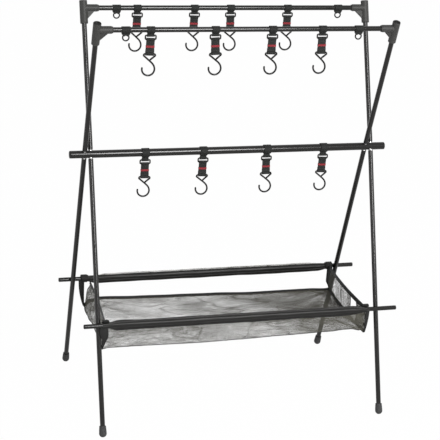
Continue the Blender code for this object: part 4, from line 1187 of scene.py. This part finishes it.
def floor_point(share, v):
    """A point of the floor, by its shares along the shelf and to the back, and its openness with
    painted shade.
    """
    left = LEFT_EDGE_X + LEFT_EDGE_SLANT * v
    right = RIGHT_EDGE_X + RIGHT_EDGE_SLANT * v
    x = left + (right - left) * share
    y = FRONT_BAR_Y + (HEM_Y - FRONT_BAR_Y) * v
    low, high = read_off(FRONT_SEAM, x), read_off(BACK_HEM, x)
    inner = 4 * v * (1 - v) * min(1.0, 12 * share * (1 - share))
    fold = waver(x * 7 + y * 6, y * 30 - x * 6, 1.7)
    fold += 0.5 * waver(x * 21 - y * 9, y * 64, 6.2)
    broad = waver(x * 8 + y * 13, y * 5, 9.1)
    gather = gathers(x, y)
    z = low + (high - low) * v - inner * FLOOR_SAG
    z += min(1.0, 3 * inner) * (
        FLOOR_FOLD * fold + FLOOR_GATHER * gather + FLOOR_SWELL * broad)
    front, back = read_off(FRONT_OPENING_AND_PAINTED_SHADE, x), read_off(BACK_OPENING_AND_PAINTED_SHADE, x)
    opening_and_painted_shade = front + (back - front) * min(1.0, max(0.0, (v - 0.30) / 0.25))
    # The openness follows the floor's folds and gathers, partly painted shade of the folds.
    opening_and_painted_shade += 0.070 * fold + 0.15 * gather + 0.075 * broad
    return Vector((MIDDLE_X + x, y, z)), opening_and_painted_shade


def wall_point(start, t):
    """A point of the front wall, above a point of the floor's seam, and its openness with painted
    shade.
    """
    x = start.x - MIDDLE_X
    inward = min(x + SHELF_HALF, SHELF_HALF - x)
    starts, length = (0.012, 0.030) if x < 0 else (0.004, 0.050)
    top_z = FRONT_BAR_Z - WALL_TOP_DROP - WALL_TOP_SAG * eased((inward - starts) / length)
    top_x = start.x + WALL_TOP_SHIFT * (x > 0) * max(0.0, 1 - inward / 0.03)
    z = start.z + (top_z - start.z) * t
    belly = math.sin(math.pi * t)
    # Folds run out from the right corner, where the strap draws the cloth together
    gone = Vector((DRAWN_CORNER[0] - x, z - DRAWN_CORNER[1]))
    turn = math.atan2(gone.y, gone.x + 0.004)
    ray = math.sin(11.0 * turn + 5.0 * waver(turn * 3, 0.5, x * 9))
    drawn = math.exp(-gone.length / GATHER_REACH) * min(1.0, gone.length / 0.015)
    ripple = waver(x * 19, z * 60, 4.4)
    y = FRONT_BAR_Y - belly * (WALL_BELLY + WALL_RIPPLE * ripple + WALL_RAY * drawn * ray)
    # The weave closes towards the wall's top, so the wall is darker under the sleeve: painted
    # shadow of the sleeve. Its ripples and the folds from the corner open and close it in turn,
    # partly painted shade of those folds.
    opening_and_painted_shade = read_off(FRONT_OPENING_AND_PAINTED_SHADE, x) + 0.045 - 0.085 * t ** 1.5
    opening_and_painted_shade += 0.05 * ripple + 0.40 * drawn * (ray - 0.25) * belly ** 0.5
    return Vector((start.x + (top_x - start.x) * t, y, z)), opening_and_painted_shade


def panel_point(side, j, t, low, first_y, wall_top):
    """A point of an end panel, above a point of the floor's edge, and its openness with painted
    shade.
    """
    y = low.y
    if j >= PANEL_FROM:
        first = first_y + FRONT_EDGE_LEAN[side] * t
        last = HEM_Y - 0.001 - BACK_EDGE_LEAN[side] * t
        y = first + (last - first) * (j - PANEL_FROM) / (ROWS - PANEL_FROM)
    top = top_line(side, y) - Vector((0, 0, PANEL_TUCK))
    if j <= GUSSET_TO:
        top = wall_top.lerp(top, (j / GUSSET_TO) ** 0.6)
    belly = math.sin(math.pi * t)
    crease = waver(y * 36, t * 1.2, side * 5.0) + 0.5 * waver(y * 90, t * 1.8, side * 9.0)
    x = low.x + (top.x - low.x) * t ** (1.7 if side > 0 else 5.0)
    x += side * (PANEL_CREASE * crease * math.sqrt(max(0.0, belly)) - PANEL_BELLY * belly)
    opening_and_painted_shade = (0.265 if side < 0 else 0.305) + 0.20 * crease - 0.10 * (j <= GUSSET_TO)
    return Vector((x, y, low.z + (top.z - low.z) * t)), opening_and_painted_shade


def facing_point(i, k):
    """A point of the strip of mesh that is sewn along the top of the back sleeve."""
    x = -SHELF_HALF + 2 * SHELF_HALF * i / COLUMNS
    rise = FACING_RISE * min(1.0, max(0.0, (x + 0.335) / 0.03), max(0.0, (0.342 - x) / 0.05))
    above, _ = sleeve_edges("back", x)
    z = BACK_BAR_Z + above - FACING_TUCK + (rise + 0.0002) * k / 2
    y = BACK_BAR_Y + FLAP_WAVE * waver(x * 17, 4.0, 2)
    # Its right half is denser, and so darker: painted shade, as on the floor's right end.
    return Vector((MIDDLE_X + x, y, z)), 0.36 - 0.06 * (x > 0)


def shelf_cloth():
    """The mesh as cut and pinned: points, faces, keys of its points, kinds and openness with
    painted shade.
    """
    points = []
    openings_and_painted_shade = []
    keys = {}

    def put(key, made):
        keys[key] = len(points)
        points.append(made[0])
        openings_and_painted_shade.append(made[1])

    for i in range(COLUMNS + 1):
        for j in range(ROWS + 1):
            put(("floor", i, j), floor_point(i / COLUMNS, j / ROWS))
        keys["wall", i, 0] = keys["floor", i, 0]
        for k in range(1, WALL_ROWS + 1):
            put(("wall", i, k), wall_point(points[keys["floor", i, 0]], k / WALL_ROWS))
    for i, side in ((0, -1), (COLUMNS, 1)):
        first_y = points[keys["floor", i, PANEL_FROM]].y
        wall_top = points[keys["wall", i, WALL_ROWS]]
        for j in range(ROWS + 1):
            keys["panel", side, j, 0] = keys["floor", i, j]
        for k in range(1, WALL_ROWS + 1):
            keys["panel", side, 0, k] = keys["wall", i, k]
            for j in range(1, ROWS + 1):
                if side < 0 or not GUSSET_TO < j < PANEL_FROM:
                    low = points[keys["floor", i, j]]
                    put(("panel", side, j, k),
                        panel_point(side, j, k / WALL_ROWS, low, first_y, wall_top))
    for i in range(COLUMNS + 1):
        for k in range(3):
            put(("facing", i, k), facing_point(i, k))
    sheets = (("floor", ("floor",), range(COLUMNS), ROWS),
              ("wall", ("wall",), range(COLUMNS), WALL_ROWS),
              ("facing", ("facing",), range(COLUMNS), 2),
              ("panel", ("panel", -1), range(ROWS), WALL_ROWS),
              ("panel", ("panel", 1), range(GUSSET_TO), WALL_ROWS),
              ("panel", ("panel", 1), range(PANEL_FROM, ROWS), WALL_ROWS))
    faces = []
    kinds = []
    for kind, lead, firsts, seconds in sheets:
        for a in firsts:
            for b in range(seconds):
                corners = ((a, b), (a + 1, b), (a + 1, b + 1), (a, b + 1))
                faces.append([keys[(*lead, *corner)] for corner in corners])
                kinds.append(kind)
    return points, faces, keys, kinds, openings_and_painted_shade


cloth_points, cloth_faces, cloth_keys, cloth_kinds, cloth_openings_and_painted_shade = shelf_cloth()
cloth_mesh = bpy.data.meshes.new("shelf_mesh_cloth")
cloth_mesh.from_pydata([tuple(p) for p in cloth_points], [], cloth_faces)
cloth_mesh.materials.append(KNIT)
cut = cloth_mesh.uv_layers.new(name="cut")
for face, kind in zip(cloth_mesh.polygons, cloth_kinds):
    for corner in face.loop_indices:
        x, y, z = cloth_points[cloth_mesh.loops[corner].vertex_index]
        cut.data[corner].uv = (y, z) if kind == "panel" else (x, y if kind == "floor" else z)
# Each point's openness, painted shade included, sets the knit's holes.
opening_and_shade_layer = cloth_mesh.attributes.new("openness_with_painted_shade", "FLOAT", "POINT")
for entry, opening_and_painted_shade in zip(opening_and_shade_layer.data, cloth_openings_and_painted_shade):
    entry.value = opening_and_painted_shade
cloth = bpy.data.objects.new("shelf_mesh_cloth", cloth_mesh)
bpy.context.scene.collection.objects.link(cloth)
held = cloth.vertex_groups.new(name="held")
edges_held = [key for key in cloth_keys if key[0] == "facing"
              or key[-1] == (ROWS if key[0] == "floor" else WALL_ROWS)]
edges_held += [("floor", 0, 0), ("floor", COLUMNS, 0)]
held.add([cloth_keys[key] for key in edges_held], 1.0, "REPLACE")
held.add([cloth_keys["floor", i, 0] for i in range(1, COLUMNS)], 0.7, "REPLACE")
# The mesh is a little larger than the space it is sewn into, so it sags and puckers
drape = cloth.modifiers.new("drape", "CLOTH")
weave = drape.settings
weave.vertex_group_mass = "held"
weave.quality = 5
weave.mass = 0.05
weave.tension_stiffness = 12
weave.compression_stiffness = 6
weave.shear_stiffness = 4
weave.bending_stiffness = 0.05
weave.air_damping = 4
weave.shrink_min = -0.018
drape.point_cache.frame_start, drape.point_cache.frame_end = 1, DRAPE_FRAMES
for moment in range(1, DRAPE_FRAMES + 1):
    bpy.context.scene.frame_set(moment)
graph = bpy.context.evaluated_depsgraph_get()
settled = [v.co.copy() for v in cloth.evaluated_get(graph).data.vertices]
cloth.modifiers.remove(drape)
bpy.context.scene.frame_set(1)
for vertex, place, start in zip(cloth_mesh.vertices, settled, cloth_points):
    shift = place - start
    if shift.length > MOST_SETTLING:
        shift *= MOST_SETTLING / shift.length
    vertex.co = start + shift
cloth_mesh.shade_smooth()
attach(cloth, "rack")
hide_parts("mesh_shelf")


# Shelf edges. The mesh's seams and free edges are bound in black tape. Webbing runs along the
# top of each end panel and is wound round the sleeve ends, and broad straps hold the corners.
TAPE = woven_finish(
    "black_edge_tape", (0.006, 0.006, 0.006), (0.022, 0.022, 0.021), 0.55, 0.2,
    0.0011, 0.0009, 0.6, 0.0004, (0.04, 0.5))
# Widths and thicknesses
HEM_TAPE, FRONT_SEAM_TAPE = (0.0098, 0.0016), (0.0028, 0.0011)
EDGE_TAPE_THICK, TOP_WEBBING_THICK, STRAP_THICK, WRAP_THICK = 0.0014, 0.0018, 0.0020, 0.0017


def spot(*key):
    """Where a point of the mesh has come to rest."""
    return cloth_mesh.vertices[cloth_keys[key]].co.copy()


def tape_mesh(name, path, facing, width, thickness):
    """A flat tape along a path. facing is the way its flat side looks, one or one a point."""
    count = len(path)
    points = []
    layout = []
    travelled = 0.0
    for k, here in enumerate(path):
        along = (path[min(k + 1, count - 1)] - path[max(k - 1, 0)]).normalized()
        outward = facing[k] if isinstance(facing, list) else Vector(facing)
        outward = (outward - outward.dot(along) * along).normalized()
        across = along.cross(outward)
        w = (width[k] if isinstance(width, list) else width) / 2
        h = thickness / 2
        edge = min(h, w * 0.4)
        for a, b in ((-w, 0), (-w + edge * 0.4, 0.8), (-w + edge, 1), (0, 1), (w - edge, 1),
                     (w - edge * 0.4, 0.8), (w, 0), (w - edge * 0.4, -0.8), (w - edge, -1),
                     (0, -1), (-w + edge, -1), (-w + edge * 0.4, -0.8)):
            points.append(here + across * a + outward * b * h)
            layout.append((a, travelled))
        if k < count - 1:
            travelled += (path[k + 1] - here).length
    faces = ring_faces(count, 12, capped=True)
    return lay_out(finished_mesh(name, points, faces, TAPE, 50), layout)


def add_tape(name, path, facing, width, thickness):
    """Sew a tape to the shelf."""
    mesh = tape_mesh(name, path, facing, width, thickness)
    add_piece("shelf_" + name, mesh, "rack")


add_tape("back_hem", [spot("floor", i, ROWS) for i in range(COLUMNS + 1)],
         (0, -1, 1.1), *HEM_TAPE)
add_tape("front_seam",
         [spot("floor", i, 0) + Vector((0, -0.0004, -0.0006)) for i in range(COLUMNS + 1)],
         (0, -1, -1), *FRONT_SEAM_TAPE)
for side, where, i, seam_width, top_width in (
        (-1, "left", 0, 0.0045, 0.0090), (1, "right", COLUMNS, 0.0090, 0.0160)):
    add_tape(where + "_seam", [spot("floor", i, j) for j in range(ROWS + 1)],
             (-side, 0, 1), seam_width, EDGE_TAPE_THICK)
    for j, edge, edge_width in ((GUSSET_TO, "gusset", 0.0080),
                                (PANEL_FROM, "panel_front", 0.0038),
                                (ROWS, "panel_back", 0.0038)):
        if side < 0 and j < ROWS:
            continue
        upright = [spot("panel", side, j, k) for k in range(WALL_ROWS + 1)]
        add_tape(f"{where}_{edge}_edge", rounded(upright, 1, closed=False),
                 (side, 0, 0), edge_width, EDGE_TAPE_THICK)
    reach = BACK_BAR_Y - FRONT_BAR_Y - 0.015
    run = [top_line(side, FRONT_BAR_Y + 0.0075 + reach * k / 20) for k in range(21)]
    add_tape(where + "_top_webbing", run, (side, 0, 0.15), top_width, TOP_WEBBING_THICK)


# Each end's webbing is wound over its sleeve twice. In front it leaves the bar's outer side bare
wraps = (
    ("front", FRONT_BAR_Y, FRONT_BAR_Z, 0.0140, (0.0026, 0.0034), (-160, 128)),
    ("back", BACK_BAR_Y, BACK_BAR_Z, 0.0170, (-0.0012, 0.0012), (-150, 190)),
)
for row, y, z, width, centre, turns in wraps:
    for side, where in ((-1, "left"), (1, "right")):
        for label, radius, spread, inset in (("wrap", 0.0103, 1.0, 0.0086),
                                             ("under_wrap", 0.0086, 1.15, 0.0108)):
            line = bend(centre, radius, *turns, 25)
            outward = [Vector((0, *(point - Vector(centre)))) for point in line]
            offset = Vector((MIDDLE_X + side * (SHELF_HALF - inset), y, z))
            add_tape(f"{row}_{where}_{label}", [Vector((0, *p)) + offset for p in line],
                     outward, width * spread, WRAP_THICK)

# Each strap's outer and inner edge at the bar, the share of its length that stays broad, the
# share at which its outer edge is in line with the shelf's corner, and how far below the bar's
# axis it starts
STRAP_STATIONS = 16
corner_straps = (
    ("front", "left", -0.3785, -0.3545, 0.36, 0.5, 0.0074),
    ("front", "right", 0.3706, 0.3590, 0.80, 1.0, 0.0010),
    ("back", "left", -0.3782, -0.3612, 0.62, 1.0, 0.0010),
    ("back", "right", 0.3722, 0.3560, 0.62, 1.0, 0.0010),
)


def strap_bow(row, under, t):
    """How far a strap stands out from the straight line between its two ends."""
    if row == "back":
        return 0.0004 - 0.0078 * (1 - t)
    if under > SHELF_BAR_R:
        return 0.0066 * math.sin(math.pi * t) ** 0.6
    return 0.0070 - 0.0064 * t + 0.0012 * math.sin(math.pi * t)


for row, where, outer, inner, stays, drawn_in, under in corner_straps:
    side = -1 if where == "left" else 1
    y, z = (FRONT_BAR_Y, FRONT_BAR_Z) if row == "front" else (BACK_BAR_Y, BACK_BAR_Z)
    facing_out = -1 if row == "front" else 1
    foot = spot("floor", 0 if side < 0 else COLUMNS, 0 if row == "front" else ROWS)
    end_x = foot.x - MIDDLE_X
    end_out, end_in = end_x + side * 0.0018, end_x - side * 0.0022
    path = []
    widths = []
    for k in range(STRAP_STATIONS + 1):
        t = k / STRAP_STATIONS
        kept = (1 - max(0.0, (t - stays) / (1 - stays))) ** 1.5
        edge_out = outer + (end_out - outer) * min(1.0, t / drawn_in) ** 2
        edge_in = end_in + (inner - end_in) * kept
        path.append(Vector((
            MIDDLE_X + (edge_out + edge_in) / 2,
            y + (foot.y - y) * t + facing_out * strap_bow(row, under, t),
            z - under + (foot.z - 0.0014 - z + under) * t)))
        widths.append(max(0.003, abs(edge_out - edge_in)))
    add_tape(f"{row}_{where}_strap", path, (0.15 * side, facing_out, 0), widths, STRAP_THICK)
